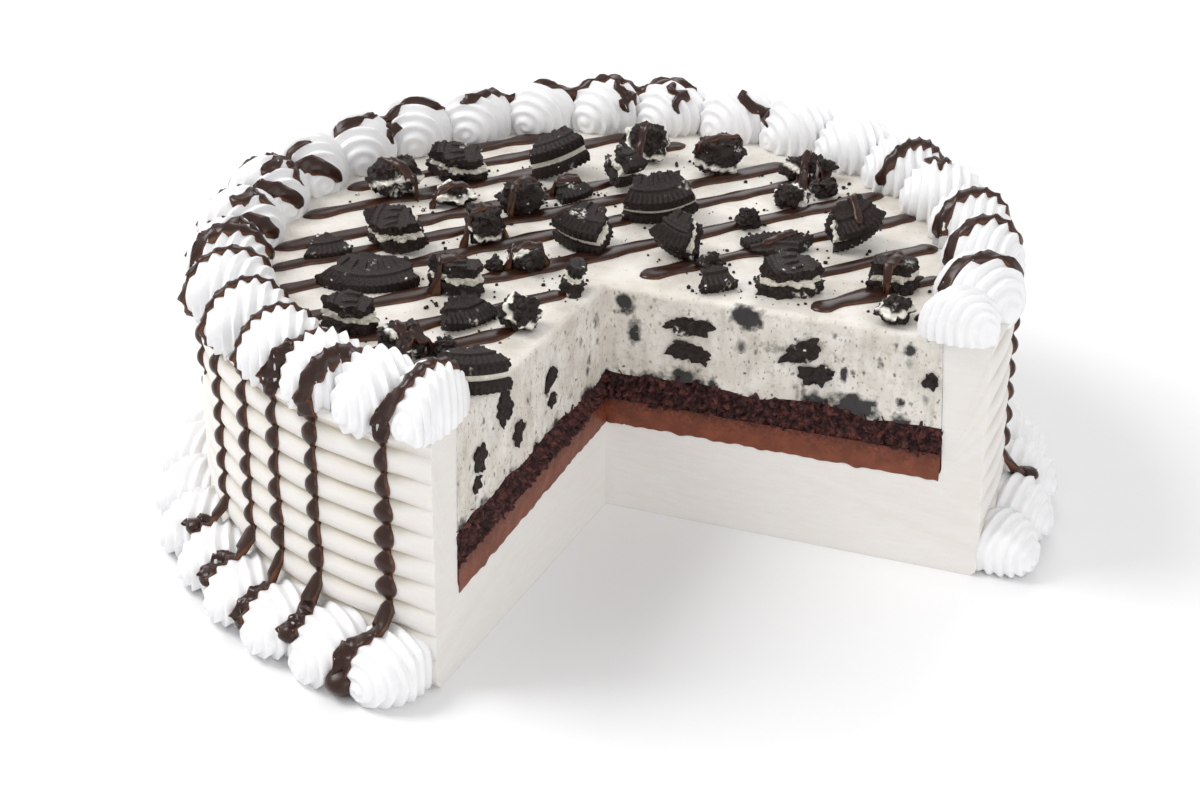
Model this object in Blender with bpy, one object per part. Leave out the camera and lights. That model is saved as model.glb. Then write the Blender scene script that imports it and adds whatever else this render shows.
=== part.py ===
"""Round ice cream cake with a slice taken out.

A vanilla cup with a ribbed side holds fudge, cookie crunch and cookies-and-cream
ice cream. Piped borders run round its top and its foot, broken sandwich cookies
lie on it, and dark sauce is drizzled across in slanting lines that run down the side.

Metres, +Z up. The origin is the middle of the round cake's underside.
"""

import math
import random

import bmesh
import bpy
from mathutils import Matrix, Vector, noise
from mathutils.bvhtree import BVHTree

MM = 0.001
GAP = 0.3 * MM
WELD = 0.0005 * MM
SEAM_MERGE = 0.001 * MM
SAME_LEVEL = 0.01 * MM

# Whole cake
WALL_RADIUS = 110 * MM
WALL_TOP_RADIUS = 107.8 * MM
CAKE_TOP = 66.5 * MM
STEPS_ROUND = 30

# Slice taken out: where its point is, and which way its two cuts run
SLICE_POINT = Vector((0.0, -18 * MM, 0.0))
SLICE_LEFT = math.radians(-115.5)
SLICE_RIGHT = math.radians(-20.6)
SLICE_REACH = 300 * MM
SLICE_LOW = -20 * MM
SLICE_HIGH = 120 * MM

# Ribbed side of the vanilla cup
RIB_PITCH = 6.8 * MM
FIRST_GROOVE = 1.4 * MM
RIB_COUNT = 9
RIB_DEPTH = 1.7 * MM
RIB_CREST = (0.25, 0.7)
TOP_EDGE_BEVEL = 1.2 * MM

# Layers inside the cup
CUP_FLOOR_TOP = 27.2 * MM
CUP_FLOOR_RADIUS = 98.5 * MM
CUP_MOUTH_RADIUS = 96.0 * MM
CUP_CORNER = 3.5 * MM
FUDGE_TOP = 34.4 * MM
CRUNCH_TOP = 42.3 * MM
CRUNCH_ROUGHNESS = 1.1 * MM
CRUNCH_LUMP = 17 * MM
CRUNCH_GRAIN = 8 * MM
CRUNCH_GRAIN_SHARE = 0.7
CRUNCH_RINGS = (13 * MM, 32 * MM, 50 * MM, 66 * MM, 82 * MM)

# The layers sag towards the left cut: their drop for each metre out from the middle
SAG = 0.065
CRUNCH_TOP_SAG = 0.047

# Piped border on top: its swirls lie on their sides and overhang the wall a little
TOP_BORDER_RADIUS = 98.6 * MM
TOP_SWIRL_REACH = 10.2 * MM
TOP_SWIRL_HEIGHT = 15.4 * MM
TOP_SWIRL_AXIS = 5.2 * MM
TOP_SWIRL_END = 212
TOP_OVERHANG = 0.6 * MM
TOP_RIDGES = 7
TOP_SIDES = 4
TOP_PITCH_WIDE = math.radians(12.0)
TOP_PITCH_NARROW = math.radians(8.0)
TOP_FIRST = math.radians(-42.0)
TOP_LAST = math.radians(253.0)

# Piped border round the foot: highest against the wall, sloping down outward
FOOT_BORDER_RADIUS = 112.5 * MM
FOOT_SWIRL_REACH = 13 * MM
FOOT_SWIRL_HEIGHT = 18 * MM
FOOT_SWIRL_AXIS = 7 * MM
FOOT_SWIRL_START = 84
FOOT_RIDGES = 4
FOOT_SIDES = 3
FOOT_PITCH_WIDE = math.radians(9.4)
FOOT_PITCH_NARROW = math.radians(7.8)
FOOT_FIRST = math.radians(-44.0)
FOOT_LAST = math.radians(256.0)

# Every swirl: how deep its ridges are and how far they twist, what is left of its height
# and width in the valley beside it, and how much it may differ from its neighbours
RIDGE_DEPTH = 0.17
SWIRL_TWIST = 0.22
VALLEY_HEIGHT = 0.51
WAIST = 0.6
SWIRL_WIDTHS = (0.95, 1.04)
SWIRL_HEIGHTS = (0.94, 1.03)

# Sauce on the level top
SAUCE_ANGLE = math.radians(27)
SAUCE_WIDTH = 3.6 * MM
SAUCE_HEIGHT = 1.1 * MM
SAUCE_END = 0.55
SAUCE_UNEVEN = (0.8, 1.15)
SAUCE_STEP = 7 * MM
SAUCE_SINK = 1.4 * MM
SAUCE_ROOM = 2.6 * MM
SAUCE_SHORTEST = 8 * MM

# Sauce down the side: its width in a groove and how deep it goes in, as shares of its
# width on a rib and of the groove's depth, and how many ribs it takes to be worth a run
SAUCE_IN_GROOVE = 0.45
GROOVE_REACH = 0.8
SHORTEST_RUN = 1.3 * RIB_PITCH

# Sauce over the foot border: where it lies, how soon it leans outward, and its last drop
FOOT_SAUCE_PLACES = (WALL_RADIUS + 2 * MM, WALL_RADIUS + 6 * MM, WALL_RADIUS + 10 * MM)
FOOT_SAUCE_LEAN = 9 * MM
DROP_HALF_WIDTH = 0.75 * SAUCE_WIDTH
DROP_HEIGHT = 1.6 * SAUCE_HEIGHT
SKY = 0.2

# Sandwich cookies, broken: how far a break or a crumbly surface may depart from its size
COOKIE_RADIUS = 22.2 * MM
WAFER = 3.4 * MM
WAFER_EDGE = 0.3 * MM
WORN_EDGE = 0.5 * MM
CREAM = 2.4 * MM
CREAM_INSET = 0.7 * MM
COOKIE_PRESS = 1.2 * MM
COOKIE_WELD = 0.02 * MM
JAGGED_POINTS = 7
JAGGED_REACH = (0.82, 1.08)
LUMP_ROUGHNESS = (0.84, 1.08)
CHIP_REACH = (0.9, 1.1)
BROKEN_BACK = ((0.55, 0.8), (0.1, 1.0), (-0.5, 0.75))

# Each line of sauce: how far along Y it passes the middle, the X range that it
# covers on top, and how far down the side its left and right ends run (None: not at all)
SAUCE_LINES = (
    (96, ((-52, 8),), None, 58),
    (83, ((-74, 8),), 34, None),
    (68, ((-84, -8), (10, 24)), 58, None),
    (49, ((-90, 12),), 22, None),
    (36, ((-92, 54),), 58, None),
    (21, ((-96, 62),), 47, None),
    (1, ((-97, 84),), 12, 58),
    (-18, ((-92, -10), (9, 92)), 8, None),
    (-33, ((-84, -22),), 5, None),
    (-40, ((53, 96),), None, 26),
    (-48, ((-74, -26),), 10, None),
    (-59, ((52, 98),), None, 18),
    (-69, ((-56, -42),), 4, None),
    (-78, ((77, 98),), None, 12),
)

# Each broken cookie on top: kind, place, width, depth, turn, tilt, roll.
# A rim piece keeps a stretch of the round edge, facing -Y before it is turned.
COOKIES = (
    ("lump", (-60, 41), (19, 15, 12.5), 20, 0, 0),
    ("sandwich", (-43, 54), (19, 11), -15, 16, 6),
    ("lump", (-43, 35), (14.5, 10, 8), 0, 0, 0),
    ("sandwich_rim", (-13, 57), (19, 12), 12, 6, -18),
    ("rim", (-10.5, 40), (13, 9), 40, 24, 0),
    ("sandwich_rim", (2.5, 48.5), (12, 10), 50, 32, 12),
    ("lump", (12, 67), (16.5, 12, 13), -20, 0, 0),
    ("lump", (-23, 29), (17, 14, 12), 30, 0, 0),
    ("lump", (-33, 9), (12, 16, 12), 10, 0, 0),
    ("sandwich_rim", (14.5, 27), (23, 14), 6, 26, -6),
    ("sandwich_rim", (-5, 7), (17, 13), -35, 20, 6),
    ("lump", (33, 58), (19, 14, 13), 15, 0, 0),
    ("sandwich", (-55, 6), (19, 13), -25, 20, -6),
    ("rim", (-75, 2), (15, 10), 20, 12, 0),
    ("half", (-61.5, -15), (29, 17), -2, 10, 0),
    ("lump", (-21, -9), (13, 10, 8.5), -10, 0, 0),
    ("sandwich", (-9, -22), (9, 7), 70, 12, 0),
    ("sandwich", (-38.5, -21.5), (17, 9), -12, 5, 6),
    ("sandwich", (-63, -44), (16, 10), -20, 10, 6),
    ("sandwich_rim", (21, 2), (15, 11), -50, 40, 12),
    ("rim", (28, -19), (12, 8), 20, 20, 0),
    ("lump", (39, 18), (9, 7, 7), 0, 0, 0),
    ("lump", (58, 52), (19, 11, 10), 10, 0, 0),
    ("lump", (52, 33), (13, 11, 8.5), -20, 0, 0),
    ("rim", (46, 3), (22, 10), 178, -10, 4),
    ("sandwich_rim", (65, 9), (18, 12), 40, 30, -14),
    ("sandwich", (47, -21), (19, 11), 0, 8, 0),
    ("sandwich", (74, -20), (16, 10), -8, 6, 0),
    ("lump", (71.5, -39), (12, 9.5, 9), 15, 0, 0),
    ("rim", (-36, -39), (19, 10), 35, 32, 8),
    ("lump", (-21.5, -43), (13, 12, 10.5), 30, 0, 0),
    ("lump", (-49, -61), (13, 11, 12), 20, 0, 0),
    ("sandwich_rim", (-32, -73), (22, 10), 6, 3, 2),
    ("lump", (27.5, -8.5), (7, 8, 6), 10, 0, 0),
    ("lump", (-38, -61), (8, 8, 8), 40, 0, 0),
    ("lump", (-29, -10), (5, 6, 6), 0, 0, 0),
    ("lump", (62, 40), (8, 9, 7), 30, 0, 0),
)

# Each cookie chip that shows in a cut: the cut, distance out from the slice's
# point, height, width, thickness and slope
CHIPS = (
    ("right", 23, 58.5, 13, 4.6, 3),
    ("right", 23, 51.2, 12, 4.6, -4),
    ("right", 53, 57.0, 11, 4.8, 24),
    ("right", 57, 51.0, 10, 4.8, 18),
    ("right", 86, 54.5, 4.2, 4.2, 30),
    ("left", 57, 59.5, 8, 7.5, 40),
    ("left", 33, 55.0, 4.4, 6.0, 60),
    ("left", 32, 48.6, 4.2, 4.6, 70),
    ("left", 50, 48.6, 4.2, 6.4, 55),
    ("left", 70, 51.5, 6.4, 6.0, 20),
    ("left", 71, 45.2, 4.2, 4.6, 60),
)
CHIP_DEPTH = 4 * MM


def clear_scene():
    for item in list(bpy.data.objects):
        bpy.data.objects.remove(item, do_unlink=True)


def material(name, color, roughness, metallic=0.0):
    made = bpy.data.materials.new(name)
    made.use_nodes = True
    shader = made.node_tree.nodes["Principled BSDF"]
    shader.inputs["Base Color"].default_value = (*color, 1.0)
    shader.inputs["Roughness"].default_value = roughness
    shader.inputs["Metallic"].default_value = metallic
    made.diffuse_color = (*color, 1.0)
    return made


def new_object(name, mesh_maker, finish=None):
    """Turn a bmesh into a named object in the scene."""
    bmesh.ops.recalc_face_normals(mesh_maker, faces=mesh_maker.faces[:])
    mesh = bpy.data.meshes.new(name)
    mesh_maker.to_mesh(mesh)
    mesh_maker.free()
    made = bpy.data.objects.new(name, mesh)
    bpy.context.scene.collection.objects.link(made)
    if finish is not None:
        mesh.materials.append(finish)
    return made


def apply_modifiers(item):
    """Keep the shape that an object's modifiers give it and drop the modifiers."""
    bpy.context.view_layer.update()
    graph = bpy.context.evaluated_depsgraph_get()
    mesh = bpy.data.meshes.new_from_object(item.evaluated_get(graph))
    item.modifiers.clear()
    item.data = mesh


def combine(item, others, operation, solver="EXACT"):
    """One Boolean with a whole collection of objects, which are then removed."""
    group = bpy.data.collections.new(item.name + "_operands")
    bpy.context.scene.collection.children.link(group)
    for other in others:
        bpy.context.scene.collection.objects.unlink(other)
        group.objects.link(other)
    change = item.modifiers.new("combine", "BOOLEAN")
    change.operation = operation
    change.operand_type = "COLLECTION"
    change.collection = group
    change.solver = solver
    apply_modifiers(item)
    for other in others:
        bpy.data.objects.remove(other, do_unlink=True)
    bpy.data.collections.remove(group)
    keep_main_body(item)


def keep_main_body(item):
    """Drop loose scraps and fill hollows that a union has sealed, leaving one closed skin."""
    made = bmesh.new()
    made.from_mesh(item.data)
    waiting = set(made.faces)
    bodies = []
    while waiting:
        body = {waiting.pop()}
        front = list(body)
        while front:
            near = {face for edge in front.pop().edges for face in edge.link_faces} & waiting
            waiting -= near
            body |= near
            front += near
        bodies.append(body)
    main_body = max(bodies, key=len)
    extra = [face for body in bodies if body is not main_body for face in body]
    bmesh.ops.delete(made, geom=extra, context="FACES")
    bmesh.ops.dissolve_degenerate(made, edges=made.edges[:], dist=WELD)
    made.to_mesh(item.data)
    made.free()


def turned(name, outline, finish=None):
    """Solid turned about Z from an outline of (radius, height) that starts and ends on the axis."""
    made = bmesh.new()
    corners = [made.verts.new((radius, 0.0, height)) for radius, height in outline]
    edges = [made.edges.new(pair) for pair in zip(corners, corners[1:])]
    bmesh.ops.spin(made, geom=corners + edges, cent=(0, 0, 0), axis=(0, 0, 1),
                   angle=2 * math.pi, steps=STEPS_ROUND, use_merge=True)
    bmesh.ops.remove_doubles(made, verts=made.verts[:], dist=SEAM_MERGE)
    return new_object(name, made, finish)


def slice_cutter():
    """Tall wedge that takes the slice out of whatever it is subtracted from."""
    made = bmesh.new()
    ends = [Vector((math.cos(way), math.sin(way), 0)) * SLICE_REACH for way in (SLICE_LEFT, SLICE_RIGHT)]
    plan = [SLICE_POINT, SLICE_POINT + ends[0], SLICE_POINT + ends[1]]
    base = made.faces.new([made.verts.new((point.x, point.y, SLICE_LOW)) for point in plan])
    raised = bmesh.ops.extrude_face_region(made, geom=[base])
    tops = [part for part in raised["geom"] if isinstance(part, bmesh.types.BMVert)]
    bmesh.ops.translate(made, verts=tops, vec=(0, 0, SLICE_HIGH - SLICE_LOW))
    return new_object("slice_cutter", made)


def inside_wall(height):
    """Radius of the cup's inside wall at a height."""
    share = (height - CUP_FLOOR_TOP) / (CAKE_TOP - CUP_FLOOR_TOP)
    return CUP_FLOOR_RADIUS + (CUP_MOUTH_RADIUS - CUP_FLOOR_RADIUS) * share


def outside_wall(height):
    """Radius of the rib crests at a height."""
    return WALL_RADIUS + (WALL_TOP_RADIUS - WALL_RADIUS) * height / CAKE_TOP


def corner_arc(radius, height, size, steps=2):
    """Rounded corner between a level floor and a wall, from the floor to the wall."""
    points = []
    for step in range(steps + 1):
        turn = math.radians(90) * step / steps
        points.append((radius - size + size * math.sin(turn), height + size - size * math.cos(turn)))
    return points


def ribbed_side():
    """Outline of the ribbed wall from the foot to the top."""
    points = [(outside_wall(0) - RIB_DEPTH, 0.0)]
    for rib in range(RIB_COUNT):
        groove = FIRST_GROOVE + rib * RIB_PITCH
        if rib:
            points.append((outside_wall(groove) - RIB_DEPTH, groove))
        for share in RIB_CREST:
            height = groove + share * RIB_PITCH
            points.append((outside_wall(height), height))
    last = FIRST_GROOVE + RIB_COUNT * RIB_PITCH
    points.append((outside_wall(last) - RIB_DEPTH, last))
    points.append((outside_wall(CAKE_TOP), CAKE_TOP - TOP_EDGE_BEVEL))
    points.append((outside_wall(CAKE_TOP) - TOP_EDGE_BEVEL, CAKE_TOP))
    return points


def left_of_middle(x, y):
    """How far a place lies out from the cake's middle, measured along the left cut."""
    return max(0.0, x * math.cos(SLICE_LEFT) + y * math.sin(SLICE_LEFT))


def sag(item, low, high):
    """Let the part of an object between two heights, inside the cup, sag with the layers."""
    for vertex in item.data.vertices:
        if low <= vertex.co.z <= high and vertex.co.xy.length < CUP_FLOOR_RADIUS + GAP:
            vertex.co.z -= SAG * left_of_middle(vertex.co.x, vertex.co.y)


def vanilla_cup(finish):
    outline = [(0.0, 0.0)] + ribbed_side() + [(CUP_MOUTH_RADIUS, CAKE_TOP)]
    outline += reversed(corner_arc(CUP_FLOOR_RADIUS, CUP_FLOOR_TOP, CUP_CORNER))
    outline += [(0.0, CUP_FLOOR_TOP)]
    made = turned("vanilla_cup", outline, finish)
    sag(made, CUP_FLOOR_TOP - GAP, CUP_FLOOR_TOP + CUP_CORNER + GAP)
    return made


def fudge_layer(finish):
    low = CUP_FLOOR_TOP + GAP
    outline = [(0.0, low)] + corner_arc(CUP_FLOOR_RADIUS - GAP, low, CUP_CORNER)
    outline += [(inside_wall(FUDGE_TOP) - GAP, FUDGE_TOP), (0.0, FUDGE_TOP)]
    made = turned("fudge_layer", outline, finish)
    sag(made, 0.0, CAKE_TOP)
    return made


def crunch_level(x, y):
    """Height of the crunch's rough top at a place."""
    lumps = noise.noise(Vector((x, y, 0.0)) / CRUNCH_LUMP + Vector((0, 0, 3.7)))
    grains = noise.noise(Vector((x, y, 0.0)) / CRUNCH_GRAIN + Vector((0, 0, 9.1)))
    rough = CRUNCH_ROUGHNESS * (lumps + CRUNCH_GRAIN_SHARE * grains)
    return CRUNCH_TOP - CRUNCH_TOP_SAG * left_of_middle(x, y) + rough


def roughen(item, level, lift):
    """Give one level face the crunch's rough top, plus a lift, with every quad split the same way."""
    made = bmesh.new()
    made.from_mesh(item.data)
    rough = [vertex for vertex in made.verts if abs(vertex.co.z - level) < SAME_LEVEL]
    for face in [face for face in made.faces if len(face.verts) == 4 and set(face.verts) <= set(rough)]:
        middle = face.calc_center_median().xy
        ends = [vertex for vertex in face.verts
                if (vertex.co.xy.length > middle.length) == (middle.cross(vertex.co.xy) > 0)]
        bmesh.utils.face_split(face, *ends)
    for vertex in rough:
        vertex.co.z = crunch_level(vertex.co.x, vertex.co.y) + lift
    made.to_mesh(item.data)
    made.free()


def cookie_crunch(finish):
    low = FUDGE_TOP + GAP
    edge = inside_wall(CRUNCH_TOP) - GAP
    outline = [(0.0, low), (inside_wall(low) - GAP, low), (edge, CRUNCH_TOP)]
    outline += [(ring, CRUNCH_TOP) for ring in reversed(CRUNCH_RINGS)] + [(0.0, CRUNCH_TOP)]
    made = turned("cookie_crunch", outline, finish)
    sag(made, low - GAP, low + GAP)
    roughen(made, CRUNCH_TOP, 0.0)
    return made


def cookies_and_cream(finish):
    edge = inside_wall(CRUNCH_TOP) - GAP
    outline = [(0.0, CRUNCH_TOP)] + [(ring, CRUNCH_TOP) for ring in CRUNCH_RINGS]
    outline += [(edge, CRUNCH_TOP), (inside_wall(CAKE_TOP) - GAP, CAKE_TOP), (0.0, CAKE_TOP)]
    made = turned("cookies_and_cream", outline, finish)
    roughen(made, CRUNCH_TOP, GAP)
    return made


def border_turns(first, last, wide, narrow):
    """Angles round the cake of one border's swirls, closer together at the front left."""
    turns = [first]
    while turns[-1] < last:
        share = min(1.0, max(0.0, (turns[-1] - math.pi) / (last - math.pi)))
        turns.append(turns[-1] + wide + (narrow - wide) * share)
    return turns


def swirl_stations(turns, sides, seed):
    """Places round a border: (angle, size across, size up, twist), from valley to valley."""
    draw = random.Random(seed)
    sizes = [(draw.uniform(*SWIRL_WIDTHS), draw.uniform(*SWIRL_HEIGHTS)) for _ in turns]
    reach = math.sqrt(1 - VALLEY_HEIGHT ** 2)
    stations = []
    for index in range(1, len(turns) - 1):
        low = (turns[index - 1] + turns[index]) / 2
        high = (turns[index] + turns[index + 1]) / 2
        width, height = sizes[index]
        for side in range(sides):
            share = side / sides
            round_up = math.sqrt(1 - (reach * (1 - 2 * share)) ** 2)
            twist = SWIRL_TWIST * (high - low) * math.sin(math.pi * share)
            across = width * (WAIST + (1 - WAIST) * round_up)
            stations.append((low + (high - low) * share, across, height * round_up, twist))
    return stations


def ridged_border(name, stations, profile, finish):
    """Loft a border through its stations and close its two ends."""
    made = bmesh.new()
    rings = []
    for turn, across, up, twist in stations:
        ring = []
        for radius, height, lean in profile(across, up):
            angle = turn + twist * lean
            ring.append(made.verts.new((radius * math.cos(angle), radius * math.sin(angle), height)))
        rings.append(ring)
    for here, there in zip(rings, rings[1:]):
        for index in range(len(here)):
            after = (index + 1) % len(here)
            made.faces.new((here[index], here[after], there[after], there[index]))
    made.faces.new(rings[0])
    made.faces.new(reversed(rings[-1]))
    bmesh.ops.triangulate(made, faces=made.faces[:])
    return new_object(name, made, finish)


def ridge_turns(start, end, ridges):
    """Angles over a swirl, in degrees, with how far each stands out: a ridge, then a groove."""
    for step in range(2 * ridges + 1):
        swell = RIDGE_DEPTH / 2 if step % 2 else -RIDGE_DEPTH / 2
        yield math.radians(start + (end - start) * step / (2 * ridges)), 1 + swell


def top_profile(across, up):
    """Closed outline through the top border, from its inner foot over to its overhang."""
    floor = CAKE_TOP + GAP
    edge = outside_wall(CAKE_TOP) + GAP
    drop = TOP_OVERHANG
    rise = TOP_SWIRL_HEIGHT - TOP_SWIRL_AXIS
    foot = -math.degrees(math.asin(TOP_SWIRL_AXIS / rise))
    outline = []
    for turn, swell in ridge_turns(foot, TOP_SWIRL_END, TOP_RIDGES):
        radius = TOP_BORDER_RADIUS - TOP_SWIRL_REACH * across * swell * math.cos(turn)
        height = floor + up * (TOP_SWIRL_AXIS + rise * swell * math.sin(turn))
        if turn > math.pi:
            radius = max(radius, edge + drop)
        if turn < 0:
            height = max(height, floor)
        outline.append((radius, height, math.cos(turn)))
    lowest = outline[-1][1]
    outline += [(edge, min(lowest + drop, floor - drop), 0.0), (edge, floor, 0.0)]
    return outline


def foot_profile(across, up):
    """Closed outline through the foot border, from the wall over and down to the ground."""
    edge = WALL_RADIUS + GAP
    rise = FOOT_SWIRL_HEIGHT - FOOT_SWIRL_AXIS
    low = 180 + math.degrees(math.asin(FOOT_SWIRL_AXIS / rise))
    outline = [(edge, up * (FOOT_SWIRL_HEIGHT - RIDGE_DEPTH / 4 * rise), 0.0)]
    for turn, swell in ridge_turns(FOOT_SWIRL_START, low, FOOT_RIDGES):
        radius = FOOT_BORDER_RADIUS - FOOT_SWIRL_REACH * across * swell * math.cos(turn)
        height = up * (FOOT_SWIRL_AXIS + rise * swell * math.sin(turn))
        outline.append((radius, height, math.cos(turn)))
    outline[-1] = (outline[-1][0], 0.0, outline[-1][2])
    outline.append((edge, 0.0, 0.0))
    return outline


def surface_of(*items):
    """Search tree of several objects' surfaces, for laying sauce on them."""
    made = bmesh.new()
    for item in items:
        made.from_mesh(item.data)
    tree = BVHTree.FromBMesh(made)
    made.free()
    return tree


def sauce_y(offset, x):
    return offset * MM + math.tan(SAUCE_ANGLE) * x


def sauce_meets(offset, radius, side):
    """X where a line of sauce crosses a circle, on the left (-1) or the right (+1)."""
    slope = math.tan(SAUCE_ANGLE)
    a = 1 + slope * slope
    b = slope * offset * MM
    c = (offset * MM) ** 2 - radius * radius
    return (-b + side * math.sqrt(b * b - a * c)) / a


def drop_onto(tree, x, y):
    """Where something falling from above lands, or None."""
    return tree.ray_cast(Vector((x, y, SKY)), Vector((0, 0, -1)))[0]


def press_onto(tree, turn, height):
    """Where something pressed inward at a height lands, or None."""
    outward = Vector((math.cos(turn), math.sin(turn), 0))
    return tree.ray_cast(outward * SKY + Vector((0, 0, height)), -outward)[0]


def ribbon(name, stations, spread=1.0):
    """Bead of sauce along stations of (point, outward, half width, height).

    Its foot lies below them, and is wider than the bead by the spread.
    """
    made = bmesh.new()
    rings = []
    for index, (point, outward, half, height) in enumerate(stations):
        before = stations[max(index - 1, 0)][0]
        after = stations[min(index + 1, len(stations) - 1)][0]
        ahead = (after - before).normalized()
        across = ahead.cross(outward).normalized()
        low = point - outward * SAUCE_SINK
        high = point + outward * height
        corners = (low - across * half * spread, high, low + across * half * spread)
        rings.append([made.verts.new(corner) for corner in corners])
    for here, there in zip(rings, rings[1:]):
        for corner in range(3):
            nearby = (corner + 1) % 3
            made.faces.new((here[corner], here[nearby], there[nearby], there[corner]))
    made.faces.new(rings[0])
    made.faces.new(reversed(rings[-1]))
    bmesh.ops.triangulate(made, faces=made.faces[:])
    return new_object(name, made)


def sauce_runs(offset, start, end, blocked):
    """Stretches of one line on the top that keep clear of the cookies."""
    count = max(2, round((end - start) / 2))
    runs = [[]]
    for step in range(count + 1):
        x = (start + (end - start) * step / count) * MM
        y = sauce_y(offset, x)
        if blocked(x, y):
            runs.append([])
        else:
            runs[-1].append((x, y))
    return [run for run in runs if len(run) > 1 and run[-1][0] - run[0][0] >= SAUCE_SHORTEST]


def thin_out(points, spacing):
    """Keep both ends of a run and points about a spacing apart."""
    length = (Vector(points[-1]) - Vector(points[0])).length
    count = max(2, round(length / spacing))
    return [points[round(step * (len(points) - 1) / count)] for step in range(count + 1)]


def top_sauce(cookies):
    """Sauce on the level top, clear of the cookies, the border and the cuts."""
    uneven = random.Random(11)
    footprints = [footprint(item) for item in cookies]
    limit = TOP_BORDER_RADIUS - TOP_SWIRL_REACH - SAUCE_WIDTH
    spread = (SAUCE_HEIGHT + SAUCE_SINK) / SAUCE_HEIGHT

    def blocked(x, y):
        if math.hypot(x, y) > limit or near_slice(x, y, SAUCE_ROOM):
            return True
        return any(inside_box(x, y, box, SAUCE_ROOM) for box in footprints)

    beads = []
    for offset, ranges, _, _ in SAUCE_LINES:
        for start, end in ranges:
            for run in sauce_runs(offset, start, end, blocked):
                points = thin_out(run, SAUCE_STEP)
                stations = []
                for index, (x, y) in enumerate(points):
                    at_end = index in (0, len(points) - 1)
                    half = SAUCE_WIDTH / 2 * (SAUCE_END if at_end else uneven.uniform(*SAUCE_UNEVEN))
                    stations.append((Vector((x, y, CAKE_TOP)), Vector((0, 0, 1)), half, SAUCE_HEIGHT))
                beads.append(ribbon(f"sauce_top_{len(beads)}", stations, spread))
    return beads


def near_slice(x, y, margin):
    """True within a margin of the slice taken out, or in it."""
    place = Vector((x, y, 0)) - SLICE_POINT
    left = Vector((math.sin(SLICE_LEFT), -math.cos(SLICE_LEFT), 0))
    right = Vector((-math.sin(SLICE_RIGHT), math.cos(SLICE_RIGHT), 0))
    return place.dot(left) < margin and place.dot(right) < margin


def footprint(item):
    """Plan of an object's box: its X range, then its Y range."""
    xs = [vertex.co.x for vertex in item.data.vertices]
    ys = [vertex.co.y for vertex in item.data.vertices]
    return min(xs), max(xs), min(ys), max(ys)


def inside_box(x, y, box, margin):
    low_x, high_x, low_y, high_y = box
    return low_x - margin < x < high_x + margin and low_y - margin < y < high_y + margin


def side_turn(offset, side):
    """Angle round the cake where a line of sauce runs down its side."""
    x = sauce_meets(offset, WALL_RADIUS, side)
    return math.atan2(sauce_y(offset, x), x)


def wall_sauce():
    """Sauce down the ribbed wall: wide on each rib, pinched in each groove."""
    beads = []
    for offset, _, left, right in SAUCE_LINES:
        for side, fall in ((-1, left), (1, right)):
            if fall is None or fall * MM > CAKE_TOP - SHORTEST_RUN:
                continue
            turn = side_turn(offset, side)
            outward = Vector((math.cos(turn), math.sin(turn), 0))
            lowest = max(fall * MM, FOOT_SWIRL_HEIGHT + RIB_PITCH / 2)
            stations = []
            height = FIRST_GROOVE + (RIB_COUNT - 0.5) * RIB_PITCH
            while height > lowest:
                on_crest = len(stations) % 2 == 0
                radius = outside_wall(height) - (0 if on_crest else RIB_DEPTH * GROOVE_REACH)
                share = 1.0 if on_crest else SAUCE_IN_GROOVE
                half = SAUCE_WIDTH / 2 * share
                bulge = SAUCE_HEIGHT * share
                stations.append((outward * radius + Vector((0, 0, height)), outward, half, bulge))
                height -= RIB_PITCH / 2
            if len(stations) > 2:
                beads.append(ribbon(f"sauce_wall_{len(beads)}", stations))
    return beads


def foot_sauce(foot_border):
    """Sauce over the foot border where a line reaches it, ending in a drop."""
    tree = surface_of(foot_border)
    beads = []
    for offset, _, left, right in SAUCE_LINES:
        for side, fall in ((-1, left), (1, right)):
            if fall is None or fall * MM > FOOT_SWIRL_HEIGHT:
                continue
            turn = side_turn(offset, side)
            outward = Vector((math.cos(turn), math.sin(turn), 0))
            stations = []
            for radius in FOOT_SAUCE_PLACES:
                hit = drop_onto(tree, outward.x * radius, outward.y * radius)
                if hit is not None:
                    lean = Vector((0, 0, 1)) + outward * (radius - WALL_RADIUS) / FOOT_SAUCE_LEAN
                    stations.append((hit, lean.normalized(), SAUCE_WIDTH / 2, SAUCE_HEIGHT))
            hit = press_onto(tree, turn, fall * MM)
            if hit is not None:
                stations.append((hit, outward, DROP_HALF_WIDTH, DROP_HEIGHT))
            if len(stations) > 2:
                beads.append(ribbon(f"sauce_foot_{len(beads)}", stations))
    return beads


def broken_outline(width, depth, rim, draw):
    """Plan of a broken cookie: a stretch of round rim at the front, or jagged all round."""
    w, d = width / 2, depth / 2
    points = []
    if rim:
        spread = math.asin(min(0.98, w / COOKIE_RADIUS))
        for step in range(5):
            turn = spread * (step / 2 - 1)
            points.append((COOKIE_RADIUS * math.sin(turn), -d + COOKIE_RADIUS * (1 - math.cos(turn))))
        for a, b in BROKEN_BACK:
            points.append((w * (a + draw.uniform(-0.12, 0.12)), d * (b + draw.uniform(-0.2, 0.1))))
    else:
        for step in range(JAGGED_POINTS):
            turn = 2 * math.pi * (step + draw.uniform(-0.25, 0.25)) / JAGGED_POINTS
            far = draw.uniform(*JAGGED_REACH)
            points.append((w * far * math.cos(turn), d * far * math.sin(turn)))
    return points


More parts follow.
